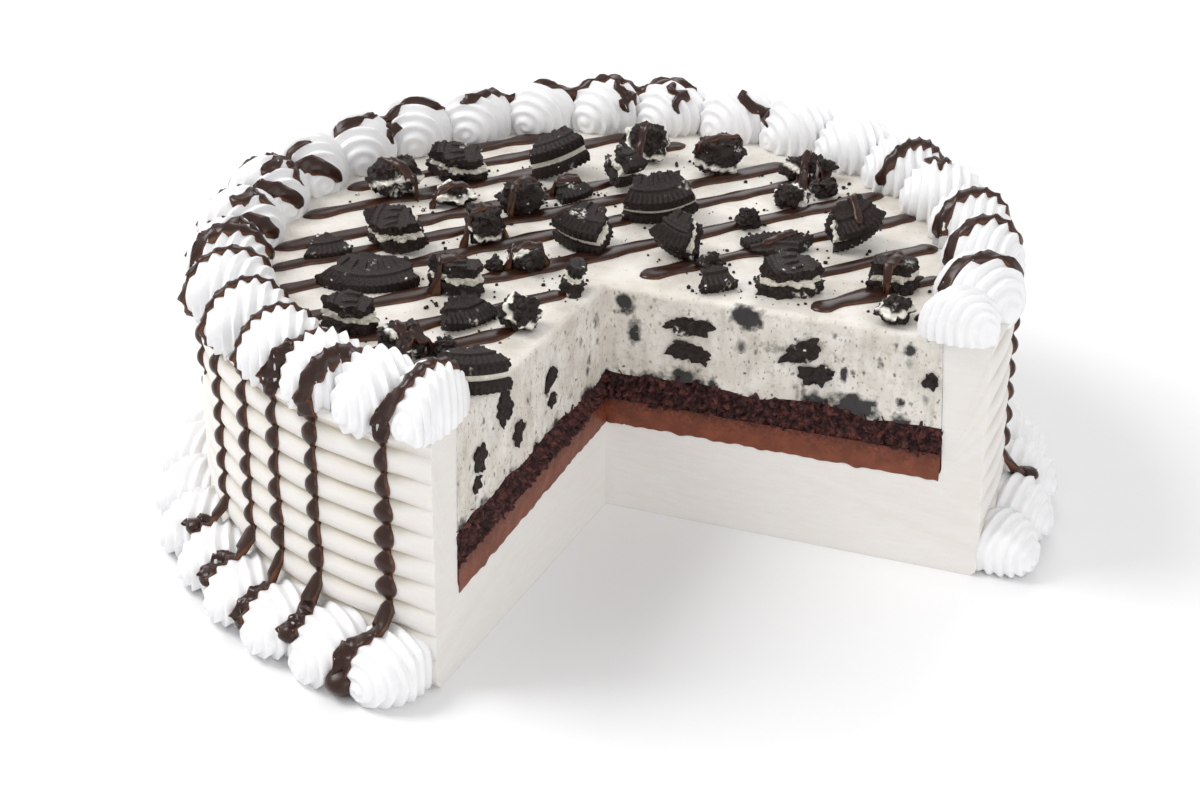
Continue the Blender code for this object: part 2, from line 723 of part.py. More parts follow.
def cookie_slab(width, depth, rim, sandwich, draw):
    """Broken wafer, or a broken sandwich of two wafers with a thinner band of cream between."""
    plan = broken_outline(width, depth, rim, draw)
    if sandwich:
        levels = ((0, 0), (WAFER, 0), (WAFER + CREAM / 2, CREAM_INSET), (WAFER + CREAM, 0),
                  (2 * WAFER + CREAM, WAFER_EDGE))
    else:
        levels = ((0, WAFER_EDGE), (WAFER / 2, 0), (WAFER, WORN_EDGE))
    made = bmesh.new()
    rings = []
    for height, inset in levels:
        shrink_x, shrink_y = 1 - 2 * inset / width, 1 - 2 * inset / depth
        rings.append([made.verts.new((x * shrink_x, y * shrink_y, height)) for x, y in plan])
    for low, high in zip(rings, rings[1:]):
        for index in range(len(plan)):
            after = (index + 1) % len(plan)
            made.faces.new((low[index], low[after], high[after], high[index]))
    made.faces.new(reversed(rings[0]))
    made.faces.new(rings[-1])
    return made


def cookie_lump(size, draw):
    """Crumbly piece, rough all round."""
    made = bmesh.new()
    bmesh.ops.create_uvsphere(made, u_segments=7, v_segments=4, radius=0.5)
    for vertex in made.verts:
        rough = draw.uniform(*LUMP_ROUGHNESS)
        vertex.co = Vector((vertex.co.x * size[0], vertex.co.y * size[1], vertex.co.z * size[2])) * rough
    return made


def rest_on_top(made):
    """Press a piece slightly into the cake's top and trim what would lie below it."""
    level = CAKE_TOP + GAP
    lowest = min(vertex.co.z for vertex in made.verts)
    bmesh.ops.translate(made, verts=made.verts[:], vec=(0, 0, level - COOKIE_PRESS - lowest))
    cut = bmesh.ops.bisect_plane(made, geom=made.verts[:] + made.edges[:] + made.faces[:],
                                 plane_co=(0, 0, level), plane_no=(0, 0, 1), clear_inner=True)
    rim = [part for part in cut["geom_cut"] if isinstance(part, bmesh.types.BMEdge)]
    bmesh.ops.holes_fill(made, edges=rim, sides=0)
    bmesh.ops.triangulate(made, faces=made.faces[:])
    bmesh.ops.remove_doubles(made, verts=made.verts[:], dist=COOKIE_WELD)


def broken_cookies(finish):
    made = []
    for index, (kind, place, size, turn, tilt, roll) in enumerate(COOKIES, start=1):
        draw = random.Random(100 + index)
        size = [length * MM for length in size]
        if kind == "lump":
            piece = cookie_lump(size, draw)
        else:
            rim = kind in ("rim", "sandwich_rim", "half")
            piece = cookie_slab(*size, rim, kind.startswith("sandwich"), draw)
        pose = Matrix.Rotation(math.radians(turn), 4, "Z")
        pose @= Matrix.Rotation(math.radians(tilt), 4, "X") @ Matrix.Rotation(math.radians(roll), 4, "Y")
        bmesh.ops.transform(piece, matrix=Matrix.Translation((place[0] * MM, place[1] * MM, 0)) @ pose,
                            verts=piece.verts[:])
        rest_on_top(piece)
        made.append(new_object(f"cookie_{index:02d}", piece, finish))
    return made


def chip(name, row, margin, finish=None):
    """Cookie chip set in a cut, or the room for it when a margin is given."""
    which, out, height, width, thick, slope = row
    way = SLICE_LEFT if which == "left" else SLICE_RIGHT
    draw = random.Random(out * 7 + height)
    w, t, depth = width / 2 * MM + margin, thick / 2 * MM + margin, CHIP_DEPTH + margin
    made = bmesh.new()
    plan = []
    for step in range(JAGGED_POINTS):
        turn = 2 * math.pi * (step + draw.uniform(-0.2, 0.2)) / JAGGED_POINTS
        far = draw.uniform(*CHIP_REACH)
        plan.append(made.verts.new((w * far * math.cos(turn), -depth, t * far * math.sin(turn))))
    face = made.faces.new(plan)
    raised = bmesh.ops.extrude_face_region(made, geom=[face])
    backs = [part for part in raised["geom"] if isinstance(part, bmesh.types.BMVert)]
    bmesh.ops.translate(made, verts=backs, vec=(0, 2 * depth, 0))
    where = SLICE_POINT + Vector((math.cos(way), math.sin(way), 0)) * out * MM + Vector((0, 0, height * MM))
    pose = Matrix.Translation(where) @ Matrix.Rotation(way, 4, "Z")
    pose @= Matrix.Rotation(math.radians(-slope), 4, "Y")
    bmesh.ops.transform(made, matrix=pose, verts=made.verts[:])
    return new_object(name, made, finish)


def take_slice(item, solver="EXACT"):
    combine(item, [slice_cutter()], "DIFFERENCE", solver)


def main():
    clear_scene()
    vanilla = material("vanilla ice cream", (0.80, 0.76, 0.73), 0.45)
    fudge = material("fudge", (0.17, 0.055, 0.04), 0.30)
    crunch = material("cookie crunch", (0.045, 0.010, 0.010), 0.75)
    speckled = material("cookies and cream ice cream", (0.72, 0.69, 0.63), 0.50)
    topping = material("whipped topping", (0.90, 0.90, 0.92), 0.55)
    cookie = material("chocolate cookie", (0.022, 0.017, 0.017), 0.80)

    cup = vanilla_cup(vanilla)
    combine(cup, wall_sauce(), "UNION", "MANIFOLD")
    take_slice(cup)

    take_slice(fudge_layer(fudge))
    take_slice(cookie_crunch(crunch))

    cookies = broken_cookies(cookie)
    cream = cookies_and_cream(speckled)
    combine(cream, top_sauce(cookies), "UNION")
    rooms = [chip(f"chip_room_{index}", row, GAP) for index, row in enumerate(CHIPS)]
    combine(cream, rooms + [slice_cutter()], "DIFFERENCE")
    for index, row in enumerate(CHIPS, start=1):
        take_slice(chip(f"chip_{index:02d}", row, 0.0, cookie))

    top_turns = border_turns(TOP_FIRST, TOP_LAST, TOP_PITCH_WIDE, TOP_PITCH_NARROW)
    top = ridged_border("top_border", swirl_stations(top_turns, TOP_SIDES, 3), top_profile, topping)
    take_slice(top, "MANIFOLD")

    foot_turns = border_turns(FOOT_FIRST, FOOT_LAST, FOOT_PITCH_WIDE, FOOT_PITCH_NARROW)
    foot = ridged_border("foot_border", swirl_stations(foot_turns, FOOT_SIDES, 5), foot_profile, topping)
    combine(foot, foot_sauce(foot), "UNION", "MANIFOLD")
    take_slice(foot, "MANIFOLD")


main()
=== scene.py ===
"""Looks of a round ice cream cake with a slice taken out, in metres, +Z up.

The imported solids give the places. Each piece here stands for one or more of them: the ribbed
vanilla cup, the layers with their cut faces, the piped swirls, the broken cookies and the
sauce that is draped over them.
"""

import math
import random

import bmesh
import bpy
from bpy.props import FloatProperty, FloatVectorProperty, IntProperty, PointerProperty
from mathutils import Matrix, Vector, noise
from mathutils.bvhtree import BVHTree


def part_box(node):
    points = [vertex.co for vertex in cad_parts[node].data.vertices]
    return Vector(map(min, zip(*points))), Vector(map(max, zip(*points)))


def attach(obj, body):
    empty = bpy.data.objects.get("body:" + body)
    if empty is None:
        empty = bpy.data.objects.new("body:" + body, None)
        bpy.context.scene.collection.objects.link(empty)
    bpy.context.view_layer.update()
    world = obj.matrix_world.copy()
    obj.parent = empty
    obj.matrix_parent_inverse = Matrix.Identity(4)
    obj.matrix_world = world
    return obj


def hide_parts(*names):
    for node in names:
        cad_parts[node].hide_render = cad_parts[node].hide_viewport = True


bl_info = {
    "name": "Ice cream cake",
    "version": (1, 0, 0),
    "blender": (4, 5, 0),
    "location": "3D View > Sidebar > Cake",
    "description": "Builds the looks of a round layered ice cream cake",
    "category": "Object",
}

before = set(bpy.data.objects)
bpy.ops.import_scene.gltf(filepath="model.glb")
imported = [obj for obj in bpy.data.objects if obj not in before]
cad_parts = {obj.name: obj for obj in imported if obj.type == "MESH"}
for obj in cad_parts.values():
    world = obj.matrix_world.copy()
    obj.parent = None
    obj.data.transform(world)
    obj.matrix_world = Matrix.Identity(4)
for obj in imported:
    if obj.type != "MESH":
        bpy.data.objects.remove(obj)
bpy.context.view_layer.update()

MM = 0.001
UP = Vector((0, 0, 1))

# Where the slice was, and which way its two cuts run from its point
SLICE_POINT = Vector((0.0, -18 * MM, 0.0))
LEFT_WAY = math.radians(-115.5)
RIGHT_WAY = math.radians(-20.6)
LEFT_GAP = Vector((-math.sin(LEFT_WAY), math.cos(LEFT_WAY), 0))
RIGHT_GAP = Vector((math.sin(RIGHT_WAY), -math.cos(RIGHT_WAY), 0))
CUTS = {"left": (LEFT_WAY, LEFT_GAP), "right": (RIGHT_WAY, RIGHT_GAP)}
ON_CUT = 0.05 * MM

CAKE_TOP = 66.5 * MM
FIRST_GROOVE = 1.4 * MM
RIB_COUNT = 9
CUP_FLOOR_RADIUS = 98.5 * MM
CUP_MOUTH_RADIUS = 96.0 * MM
CUP_CORNER = 3.5 * MM
SAG = 0.065
CRUNCH_TOP_SAG = 0.047
OVERLAP = 0.15 * MM
ROUND_EDGE = 1.5 * MM

# How finely the cup, its ribs and the cut faces of the layers (across and up) are divided
CUP_SEGMENTS = 220
RIB_STEPS = 9
CREAM_GRID = (110, 70)
CRUNCH_GRID = (230, 28)
FUDGE_GRID = (120, 12)

# Swirls of the two borders: first and last angle, widest and narrowest pitch
TOP_TURNS = (math.radians(-42), math.radians(253), math.radians(12.0), math.radians(8.0))
FOOT_TURNS = (math.radians(-44), math.radians(256), math.radians(9.4), math.radians(7.8))

# Seeds and ranges of their sizes, how high their axis lies, how far the top ones reach below
# the cake's top, how low their eyes lie, how finely they are divided, and how much the ones
# at the right cut are squeezed across and in height
TOP_SEED = 3
FOOT_SEED = 5
SWIRL_WIDTHS = (0.95, 1.04)
SWIRL_HEIGHTS = (0.94, 1.03)
TOP_AXIS, FOOT_AXIS = 4.2 * MM, 7.0 * MM
TOP_HANG = 3.2 * MM
TOP_DROOP, FOOT_DROOP = 0.14, 0.30
SWIRL_SEGMENTS = 40
ROWS_PER_RIDGE = 6
SQUEEZED = (0.88, 0.86)

# Lines of sauce in millimetres: how far along Y each passes the middle, its X ranges on the
# level top, and the height that its left and right ends come down to (None: it has no such end)
SAUCE_ANGLE = math.radians(27)
SAUCE_LINES = (
    (96, ((-52, 8),), None, None),
    (83, ((-74, 8),), 34, None),
    (68, ((-84, -8), (10, 24)), 58, None),
    (49, ((-90, 12),), 22, None),
    (36, ((-92, 54),), 58, None),
    (21, ((-96, 62),), 47, None),
    (1, ((-97, 84),), 12, 58),
    (-18, ((-92, -10), (9, 92)), 8, None),
    (-33, ((-84, -22),), 5, None),
    (-40, ((53, 96),), None, 26),
    (-48, ((-74, -26),), 10, None),
    (-59, ((52, 98),), None, 18),
    (-69, ((-56, -42),), 4, None),
    (-78, ((77, 98),), None, 12),
)

# Broken cookies: kind, place, width, depth (and height), turn, tilt, roll
COOKIES = (
    ("lump", (-60, 41), (19, 15, 12.5), 20, 0, 0),
    ("sandwich", (-43, 54), (19, 11), -15, 16, 6),
    ("lump", (-43, 35), (14.5, 10, 8), 0, 0, 0),
    ("sandwich_rim", (-13, 57), (19, 12), 12, 6, -18),
    ("rim", (-10.5, 40), (13, 9), 40, 24, 0),
    ("sandwich_rim", (2.5, 48.5), (12, 10), 50, 32, 12),
    ("lump", (12, 67), (16.5, 12, 13), -20, 0, 0),
    ("lump", (-23, 29), (17, 14, 12), 30, 0, 0),
    ("lump", (-33, 9), (12, 16, 12), 10, 0, 0),
    ("sandwich_rim", (14.5, 27), (23, 14), 6, 26, -6),
    ("sandwich_rim", (-5, 7), (17, 13), -35, 20, 6),
    ("lump", (33, 58), (19, 14, 13), 15, 0, 0),
    ("sandwich", (-55, 6), (19, 13), -25, 20, -6),
    ("rim", (-75, 2), (15, 10), 20, 12, 0),
    ("half", (-61.5, -15), (29, 17), -2, 10, 0),
    ("lump", (-21, -9), (13, 10, 8.5), -10, 0, 0),
    ("sandwich", (-9, -22), (9, 7), 70, 12, 0),
    ("sandwich", (-38.5, -21.5), (17, 9), -12, 5, 6),
    ("sandwich", (-63, -44), (16, 10), -20, 10, 6),
    ("sandwich_rim", (21, 2), (15, 11), -50, 40, 12),
    ("rim", (28, -19), (12, 8), 20, 20, 0),
    ("lump", (39, 18), (9, 7, 7), 0, 0, 0),
    ("lump", (58, 52), (19, 11, 10), 10, 0, 0),
    ("lump", (52, 33), (13, 11, 8.5), -20, 0, 0),
    ("rim", (46, 3), (22, 10), 178, -10, 4),
    ("sandwich_rim", (65, 9), (18, 12), 40, 30, -14),
    ("sandwich", (47, -21), (19, 11), 0, 8, 0),
    ("sandwich", (74, -20), (16, 10), -8, 6, 0),
    ("lump", (71.5, -39), (12, 9.5, 9), 15, 0, 0),
    ("rim", (-36, -39), (19, 10), 35, 32, 8),
    ("lump", (-21.5, -43), (13, 12, 10.5), 30, 0, 0),
    ("lump", (-49, -61), (13, 11, 12), 20, 0, 0),
    ("sandwich_rim", (-32, -73), (22, 10), 6, 3, 2),
    ("lump", (27.5, -8.5), (7, 8, 6), 10, 0, 0),
    ("lump", (-38, -61), (8, 8, 8), 40, 0, 0),
    ("lump", (-29, -10), (5, 6, 6), 0, 0, 0),
    ("lump", (62, 40), (8, 9, 7), 30, 0, 0),
)
CHIP_COUNT = 11

# Cream that shows in the lumps: height of its band, its tilt and the way it leans
FILLINGS = {
    1: (-2.0, 0.5, 2.0),
    3: (1.0, 0.3, -1.2),
    7: (0.5, 0.9, -1.4),
    9: (-0.5, 0.5, -0.6),
    12: (-3.0, 0.2, 0.0),
    16: (1.5, 0.6, 2.4),
    23: (-1.5, 0.5, 0.2),
    24: (0.0, 1.2, -2.0),
    29: (0.5, 0.35, -1.0),
    31: (1.0, 0.8, -0.8),
    32: (-1.0, 1.1, 0.6),
}

# Short drips of sauce over the cookies: place, length and direction
DRIPS = (
    ((-43, 35), 15, 30),
    ((-60, 41), 17, -35),
    ((-23, 29), 15, 60),
    ((-10, 42), 13, 25),
    ((12, 67), 14, 70),
    ((33, 58), 15, 20),
    ((58, 52), 17, 75),
    ((60, 48), 14, 15),
    ((66, 9), 16, 100),
    ((-33, 9), 15, 30),
    ((-38, -20), 17, 35),
    ((-21, -9), 13, 15),
    ((-44, -61), 15, 40),
    ((-48, -64), 12, 110),
    ((74, -20), 12, 60),
    ((48, 5), 15, 30),
)

# Sauce along the top border: from and to which angle round the cake, and how far over the
# swirls it lies at each end (0 outside, 90 on top, 180 inside)
RING_SAUCE = (
    (103, 73, 93, 88),
    (87, 85, 95, 152),
    (77, 75, 95, 150),
    (117, 106, 112, 100),
    (143, 120, 92, 112),
    (131, 133, 110, 155),
    (64, 57, 98, 150),
    (165, 150, 95, 100),
    (158, 160, 100, 150),
    (176, 172, 80, 140),
    (22, 16, 90, 100),
    (187, 183, 70, 140),
)

# Soft dark patches in the cut cream: cut, distance out, height, length, width and strength
SOFT_PATCHES = (
    ("right", 38, 63.5, 7.0, 6.5, 0.95),
    ("right", 8, 54.5, 4.0, 6.5, 0.75),
    ("right", 5, 62.0, 4.5, 5.0, 0.9),
    ("right", 22, 43.0, 9.0, 6.0, 0.8),
    ("right", 67, 43.5, 11.0, 6.5, 0.95),
    ("right", 57, 43.5, 8.0, 4.0, 0.7),
    ("right", 64, 52.0, 1.8, 4.2, 0.9),
    ("right", 73, 57.0, 1.6, 3.0, 0.6),
    ("right", 80, 62.0, 3.2, 3.2, 0.85),
    ("right", 45, 56.5, 10.0, 5.0, 0.35),
    ("right", 79, 47.0, 2.4, 2.4, 0.9),
    ("left", 6, 59.0, 4.0, 6.0, 0.5),
    ("left", 44, 55.0, 3.0, 4.0, 0.4),
)

WAFER = 3.4 * MM
CREAM_FILLING = 2.1 * MM
COOKIE_RADIUS = 22.2 * MM
COOKIE_RIDGES = 90
RIM_POINTS = 5
JAGGED_POINTS = 7
JAGGED_REACH = (0.82, 1.08)
BROKEN_BACK = ((0.55, 0.8), (0.1, 1.0), (-0.5, 0.75))
FILLING_SUNK = 0.15 * MM
SHARP_CRUMB = math.radians(40)
COOKIE_SEED = 101

# Chips in the cuts: how ragged, how much taller and how far proud they are
CHIP_RAGGED = 0.42
CHIP_TALLER = 1.22
CHIP_PROUD = 0.85 * MM

# Crumbs round the cookies: tries, seed and how far out they lie at most
CRUMB_TRIES = 520
CRUMB_SEED = 23
CRUMB_LIMIT = 86 * MM

# Sauce is pressed on from this far outside. On the level top it ends inside the border, on
# the wall above the foot border, and at the foot in a drop.
CAST_REACH = 40 * MM
LEVEL_LIMIT = 90 * MM
WALL_SAUCE_END = 19 * MM
FOOT_SAUCE_START = 18 * MM
LOW_DROP, HIGH_DROP = 4.2 * MM, 2.7 * MM
CROSSING_HEIGHT = 1.05 * MM
RING_HEIGHT = 0.85 * MM
RING_SEED = 30
DRIP_SEED = 50

# Specks in the cream: size, share of cells, strength, how faint off the cut, and colour
CREAM_SPECKS = (
    (0.0050, 0.20, 0.90, 0.10, (0.022, 0.018, 0.017)),
    (0.0024, 0.30, 0.85, 0.10, (0.050, 0.043, 0.038)),
    (0.0012, 0.45, 0.75, 0.35, (0.130, 0.090, 0.060)),
)
CREAM_CLOUD = (0.62, 0.57, 0.50)
STREAK_GREY = (0.27, 0.255, 0.235)
FRECKLE_BROWN = (0.30, 0.235, 0.175)
PATCH_BLACK = (0.024, 0.021, 0.021)

# Lights: place, size and power
LIGHTS = {
    "key": ((-0.8, 0.1, 1.0), 0.6, 9.0),
    "fill": ((0.6, -1.1, 0.6), 1.0, 4.5),
    "back": ((0.3, 1.1, 0.9), 0.8, 4.0),
}
LIT_POINT = Vector((0, 0, 0.04))
CAMERA_PLACE = (-0.0016, -0.4783, 0.2866)
CAMERA_TILT = math.radians(90 - 28.904)
CAMERA_LENS = 59.07


def length(name, description, millimetres):
    return FloatProperty(name=name, description=description, default=millimetres * MM, unit="LENGTH")


def angle(name, description, degrees):
    return FloatProperty(name=name, description=description, default=math.radians(degrees),
                         unit="ROTATION")


def colour(name, description, value):
    return FloatVectorProperty(name=name, description=description, default=value, subtype="COLOR")


class CakeSizes(bpy.types.PropertyGroup):
    wall_radius: length("Wall radius", "Radius of the ribs at the foot", 110)
    wall_top_radius: length("Top radius", "Radius of the ribs at the top", 107.8)
    rib_pitch: length("Rib pitch", "Height of one rib", 6.8)
    rib_depth: length("Rib depth", "Depth of the groove between ribs", 1.7)
    floor_top: length("Floor top", "Height of the vanilla floor", 27.2)
    fudge_top: length("Fudge top", "Height of the fudge's top", 34.4)
    crunch_top: length("Crunch top", "Height of the crunch's top", 42.3)


class PipingSizes(bpy.types.PropertyGroup):
    top_radius: length("Top ring", "Radius of the ring of swirls on top", 99.0)
    top_reach: length("Top reach", "Half width of a top swirl", 11.7)
    top_height: length("Top height", "Height of a top swirl", 15.6)
    foot_radius: length("Foot ring", "Radius of the ring of foot swirls", 112.5)
    foot_reach: length("Foot reach", "Half width of a foot swirl", 12.6)
    foot_height: length("Foot height", "Height of a foot swirl", 16.4)
    ridges: IntProperty(name="Ridges", description="Ridges on a swirl, from eye to eye", default=11, min=4)
    ridge_depth: FloatProperty(
        name="Ridge depth", description="Depth of a ridge as a share of the swirl", default=0.155, min=0.0)
    top_slant: angle("Top slant", "Turn of a top swirl's axis away from the middle", 28)
    foot_slant: angle("Foot slant", "Turn of a foot swirl's axis away from the middle", 14)


class SauceSizes(bpy.types.PropertyGroup):
    level_width: length("Width on top", "Width of a line on the level top", 5.8)
    width: length("Width", "Width of a line on the swirls and the side", 4.0)
    height: length("Height", "Height of a line of sauce", 1.2)


class CakeColours(bpy.types.PropertyGroup):
    topping: colour("Topping", "Whipped topping", (0.90, 0.90, 0.91))
    vanilla: colour("Vanilla", "Vanilla ice cream", (0.815, 0.79, 0.765))
    # Partly painted light: the cut's vanilla is pinker, as the cut ice cream is, and lighter than the
    # wall's vanilla to make up for the shade on the cut faces.
    vanilla_cut_painted_lighter: colour("Vanilla cut", "Vanilla ice cream where it is cut", (0.88, 0.83, 0.795))
    speckled: colour("Speckled cream", "Cookies and cream", (0.77, 0.735, 0.68))
    fudge: colour("Fudge", "Fudge", (0.152, 0.040, 0.019))
    crunch: colour("Crunch", "Cookie crunch", (0.020, 0.004, 0.004))
    cookie: colour("Cookie", "Chocolate cookie", (0.0155, 0.0105, 0.009))
    filling: colour("Filling", "Cookie filling", (0.90, 0.87, 0.79))
    sauce: colour("Sauce", "Thick sauce", (0.031, 0.0105, 0.006))
    thin_sauce: colour("Thin sauce", "Sauce at its thin edges", (0.14, 0.048, 0.016))


# Materials


def add_node(tree, kind, inputs=None, **settings):
    """New shader node with its settings, and its inputs as values or as sockets to link."""
    made = tree.nodes.new(kind)
    for name, value in settings.items():
        setattr(made, name, value)
    for key, value in (inputs or {}).items():
        if isinstance(value, bpy.types.NodeSocket):
            tree.links.new(value, made.inputs[key])
        else:
            made.inputs[key].default_value = value
    return made


def maths(tree, operation, *values, **settings):
    return add_node(tree, "ShaderNodeMath", dict(enumerate(values)), operation=operation,
                    **settings).outputs[0]


def vector_maths(tree, operation, *values):
    return add_node(tree, "ShaderNodeVectorMath", dict(enumerate(values)), operation=operation).outputs[0]


def texture(tree, place, scale, detail=2.0, roughness=0.5):
    """Soft random pattern, from 0 to 1."""
    return add_node(tree, "ShaderNodeTexNoise", {"Vector": place, "Scale": scale, "Detail": detail,
                                                 "Roughness": roughness}).outputs["Fac"]


def cells(tree, place, scale):
    return add_node(tree, "ShaderNodeTexVoronoi", {"Vector": place, "Scale": scale}).outputs


def stretched(tree, place, upwards):
    """Place whose heights are scaled, so that a pattern is drawn out or flattened."""
    return add_node(tree, "ShaderNodeMapping", {"Vector": place, "Scale": (1.0, 1.0, upwards)}).outputs[0]


def attribute(tree, name):
    return add_node(tree, "ShaderNodeAttribute", attribute_name=name).outputs["Fac"]


def ramp(tree, value, low, high, start=0.0, end=1.0):
    """Value brought from one range, low to high, to another, start to end."""
    return add_node(tree, "ShaderNodeMapRange",
                    {"Value": value, 1: low, 2: high, 3: start, 4: end}).outputs[0]


def mix_colours(tree, factor, first, second):
    """Colour between two, each a socket or a value."""
    mixed = add_node(tree, "ShaderNodeMix", {0: factor}, data_type="RGBA")
    for key, value in ((6, first), (7, second)):
        if isinstance(value, bpy.types.NodeSocket):
            tree.links.new(value, mixed.inputs[key])
        else:
            mixed.inputs[key].default_value = (*value, 1.0)
    return mixed.outputs[2]


def tinted(base, *factors):
    return tuple(part * factor for part, factor in zip(base, factors))


def new_group(name, values, results):
    """Shader group with its inputs, a vector and the named values, and its named outputs."""
    group = bpy.data.node_groups.new(name, "ShaderNodeTree")
    group.interface.new_socket("Vector", in_out="INPUT", socket_type="NodeSocketVector")
    for label, default in values.items():
        socket = group.interface.new_socket(label, in_out="INPUT", socket_type="NodeSocketFloat")
        socket.default_value = default
    for label in results:
        group.interface.new_socket(label, in_out="OUTPUT", socket_type="NodeSocketFloat")
    return group, group.nodes.new("NodeGroupInput").outputs, group.nodes.new("NodeGroupOutput").inputs


def specks_group():
    """Scattered specks: a mask of small uneven grains, some cells holding one and most none."""
    group, given, result = new_group("Scattered specks", {"Size": 0.002, "Share": 0.2}, ("Mask",))
    bend = add_node(group, "ShaderNodeTexNoise", {"Vector": given["Vector"], "Scale": 900.0})
    shift = vector_maths(group, "MULTIPLY", bend.outputs["Color"], (0.0012, 0.0012, 0.0012))
    bent = vector_maths(group, "ADD", given["Vector"], shift)
    grains = cells(group, bent, maths(group, "DIVIDE", 1.0, given["Size"]))
    chance = add_node(group, "ShaderNodeSeparateColor", {"Color": grains["Color"]}).outputs
    held = maths(group, "LESS_THAN", chance[0], given["Share"])
    reach = ramp(group, chance[1], 0.0, 1.0, 0.12, 0.42)
    near = ramp(group, grains["Distance"], reach, 0.10)
    group.links.new(maths(group, "MULTIPLY", near, held, use_clamp=True), result["Mask"])
    return group


def crumb_group():
    """Crumbly relief: uneven grains as a height, and a shade from dark to light."""
    group, given, result = new_group("Crumb", {"Grain": 0.0015}, ("Height", "Shade"))
    scale = maths(group, "DIVIDE", 1.0, given["Grain"])
    coarse = texture(group, given["Vector"], scale, 5.0, 0.7)
    sunk = maths(group, "MULTIPLY", cells(group, given["Vector"], scale)["Distance"], -0.6)
    group.links.new(maths(group, "ADD", coarse, sunk), result["Height"])
    group.links.new(coarse, result["Shade"])
    return group


GROUPS = {}


def placed(tree, build, place, **values):
    """Outputs of a shader group, which is built once and placed with each material's values."""
    if build not in GROUPS:
        GROUPS[build] = build()
    return add_node(tree, "ShaderNodeGroup", {"Vector": place, **values}, node_tree=GROUPS[build]).outputs


def new_material(name, roughness, soft=0.0, soft_radius=(2.0, 1.6, 1.2), coat=0.0, shine=0.5):
    """Material with its shader, its tree and the Object coordinates that its patterns read."""
    made = bpy.data.materials.new(name)
    made.use_nodes = True
    tree = made.node_tree
    shader = tree.nodes["Principled BSDF"]
    for label, value in (("Roughness", roughness), ("Subsurface Weight", soft),
                         ("Subsurface Radius", soft_radius), ("Subsurface Scale", MM),
                         ("Coat Weight", coat), ("Specular IOR Level", shine)):
        shader.inputs[label].default_value = value
    return made, tree, shader, add_node(tree, "ShaderNodeTexCoord").outputs["Object"]


def set_looks(tree, shader, base, height=None, distance=MM, strength=1.0):
    """Give a shader its base colour and, from a height, its relief."""
    tree.links.new(base, shader.inputs["Base Color"])
    if height is not None:
        relief = add_node(tree, "ShaderNodeBump",
                          {"Height": height, "Distance": distance, "Strength": strength})
        tree.links.new(relief.outputs["Normal"], shader.inputs["Normal"])


def topping_material(colours):
    """Whipped topping: smooth and white, with the faint pores of piped cream."""
    made, tree, shader, place = new_material("whipped topping", 0.42, soft=0.35,
                                             soft_radius=(2.5, 2.4, 2.3))
    broad = ramp(tree, texture(tree, place, 180.0, 3.0), 0.35, 0.65)
    base = mix_colours(tree, broad, tinted(colours.topping, 0.955, 0.955, 0.955), colours.topping)
    set_looks(tree, shader, base, texture(tree, place, 1400.0), 0.12 * MM, 0.5)
    return made


def vanilla_material(name, vanilla, paint_groove_shade=False):
    """Vanilla ice cream: faint ice crystals and fine scrapes, and painted shade in its grooves."""
    made, tree, shader, place = new_material(name, 0.48, soft=0.3)
    scrape = texture(tree, stretched(tree, place, 6.0), 160.0, 4.0)
    crystals = texture(tree, place, 2200.0, 3.0)
    base = mix_colours(tree, ramp(tree, scrape, 0.35, 0.65), tinted(vanilla, 0.98, 0.97, 0.95), vanilla)
    if paint_groove_shade:
        # Painted shade: deep in each groove the vanilla is mixed towards a darker, warmer tone.
        base = mix_colours(tree, attribute(tree, "groove"), base, tinted(vanilla, 0.70, 0.65, 0.53))
    set_looks(tree, shader, base, maths(tree, "ADD", scrape, crystals), 0.16 * MM, 0.6)
    return made


def speckled_material(colours):
    """Cookies and cream: smeared grey streaks, dark specks and soft patches where it is cut."""
    made, tree, shader, place = new_material("cookies and cream", 0.46, soft=0.22)
    cut = attribute(tree, "cut")
    clouds = texture(tree, place, 95.0, 4.0)
    streaks = texture(tree, stretched(tree, place, 0.22), 420.0, 6.0, 0.65)
    freckles = texture(tree, place, 620.0, 6.0, 0.75)
    base = mix_colours(tree, ramp(tree, clouds, 0.40, 0.68), colours.speckled, CREAM_CLOUD)
    for pattern, low, high, most, shade in ((streaks, 0.50, 0.80, 0.45, STREAK_GREY),
                                            (freckles, 0.52, 0.74, 0.75, FRECKLE_BROWN)):
        shown = maths(tree, "MULTIPLY", ramp(tree, pattern, low, high, 0.0, most), cut)
        base = mix_colours(tree, shown, base, shade)
    for size, share, weight, faint, shade in CREAM_SPECKS:
        mask = placed(tree, specks_group, stretched(tree, place, 0.72), Size=size, Share=share)["Mask"]
        amount = maths(tree, "MULTIPLY", mask, ramp(tree, cut, 0.0, 1.0, faint, 1.0))
        base = mix_colours(tree, maths(tree, "MULTIPLY", amount, weight), base, shade)
    ragged = texture(tree, place, 700.0, 5.0)
    torn = maths(tree, "ADD", attribute(tree, "smudge"), ramp(tree, ragged, 0.2, 0.8, -0.30, 0.30))
    base = mix_colours(tree, ramp(tree, torn, 0.22, 0.70), base, PATCH_BLACK)
    waves = texture(tree, place, 60.0, 1.0)
    relief = maths(tree, "MULTIPLY_ADD", waves, 7.0, maths(tree, "ADD", streaks, ragged))
    set_looks(tree, shader, base, relief, 0.35 * MM, 0.6)
    return made


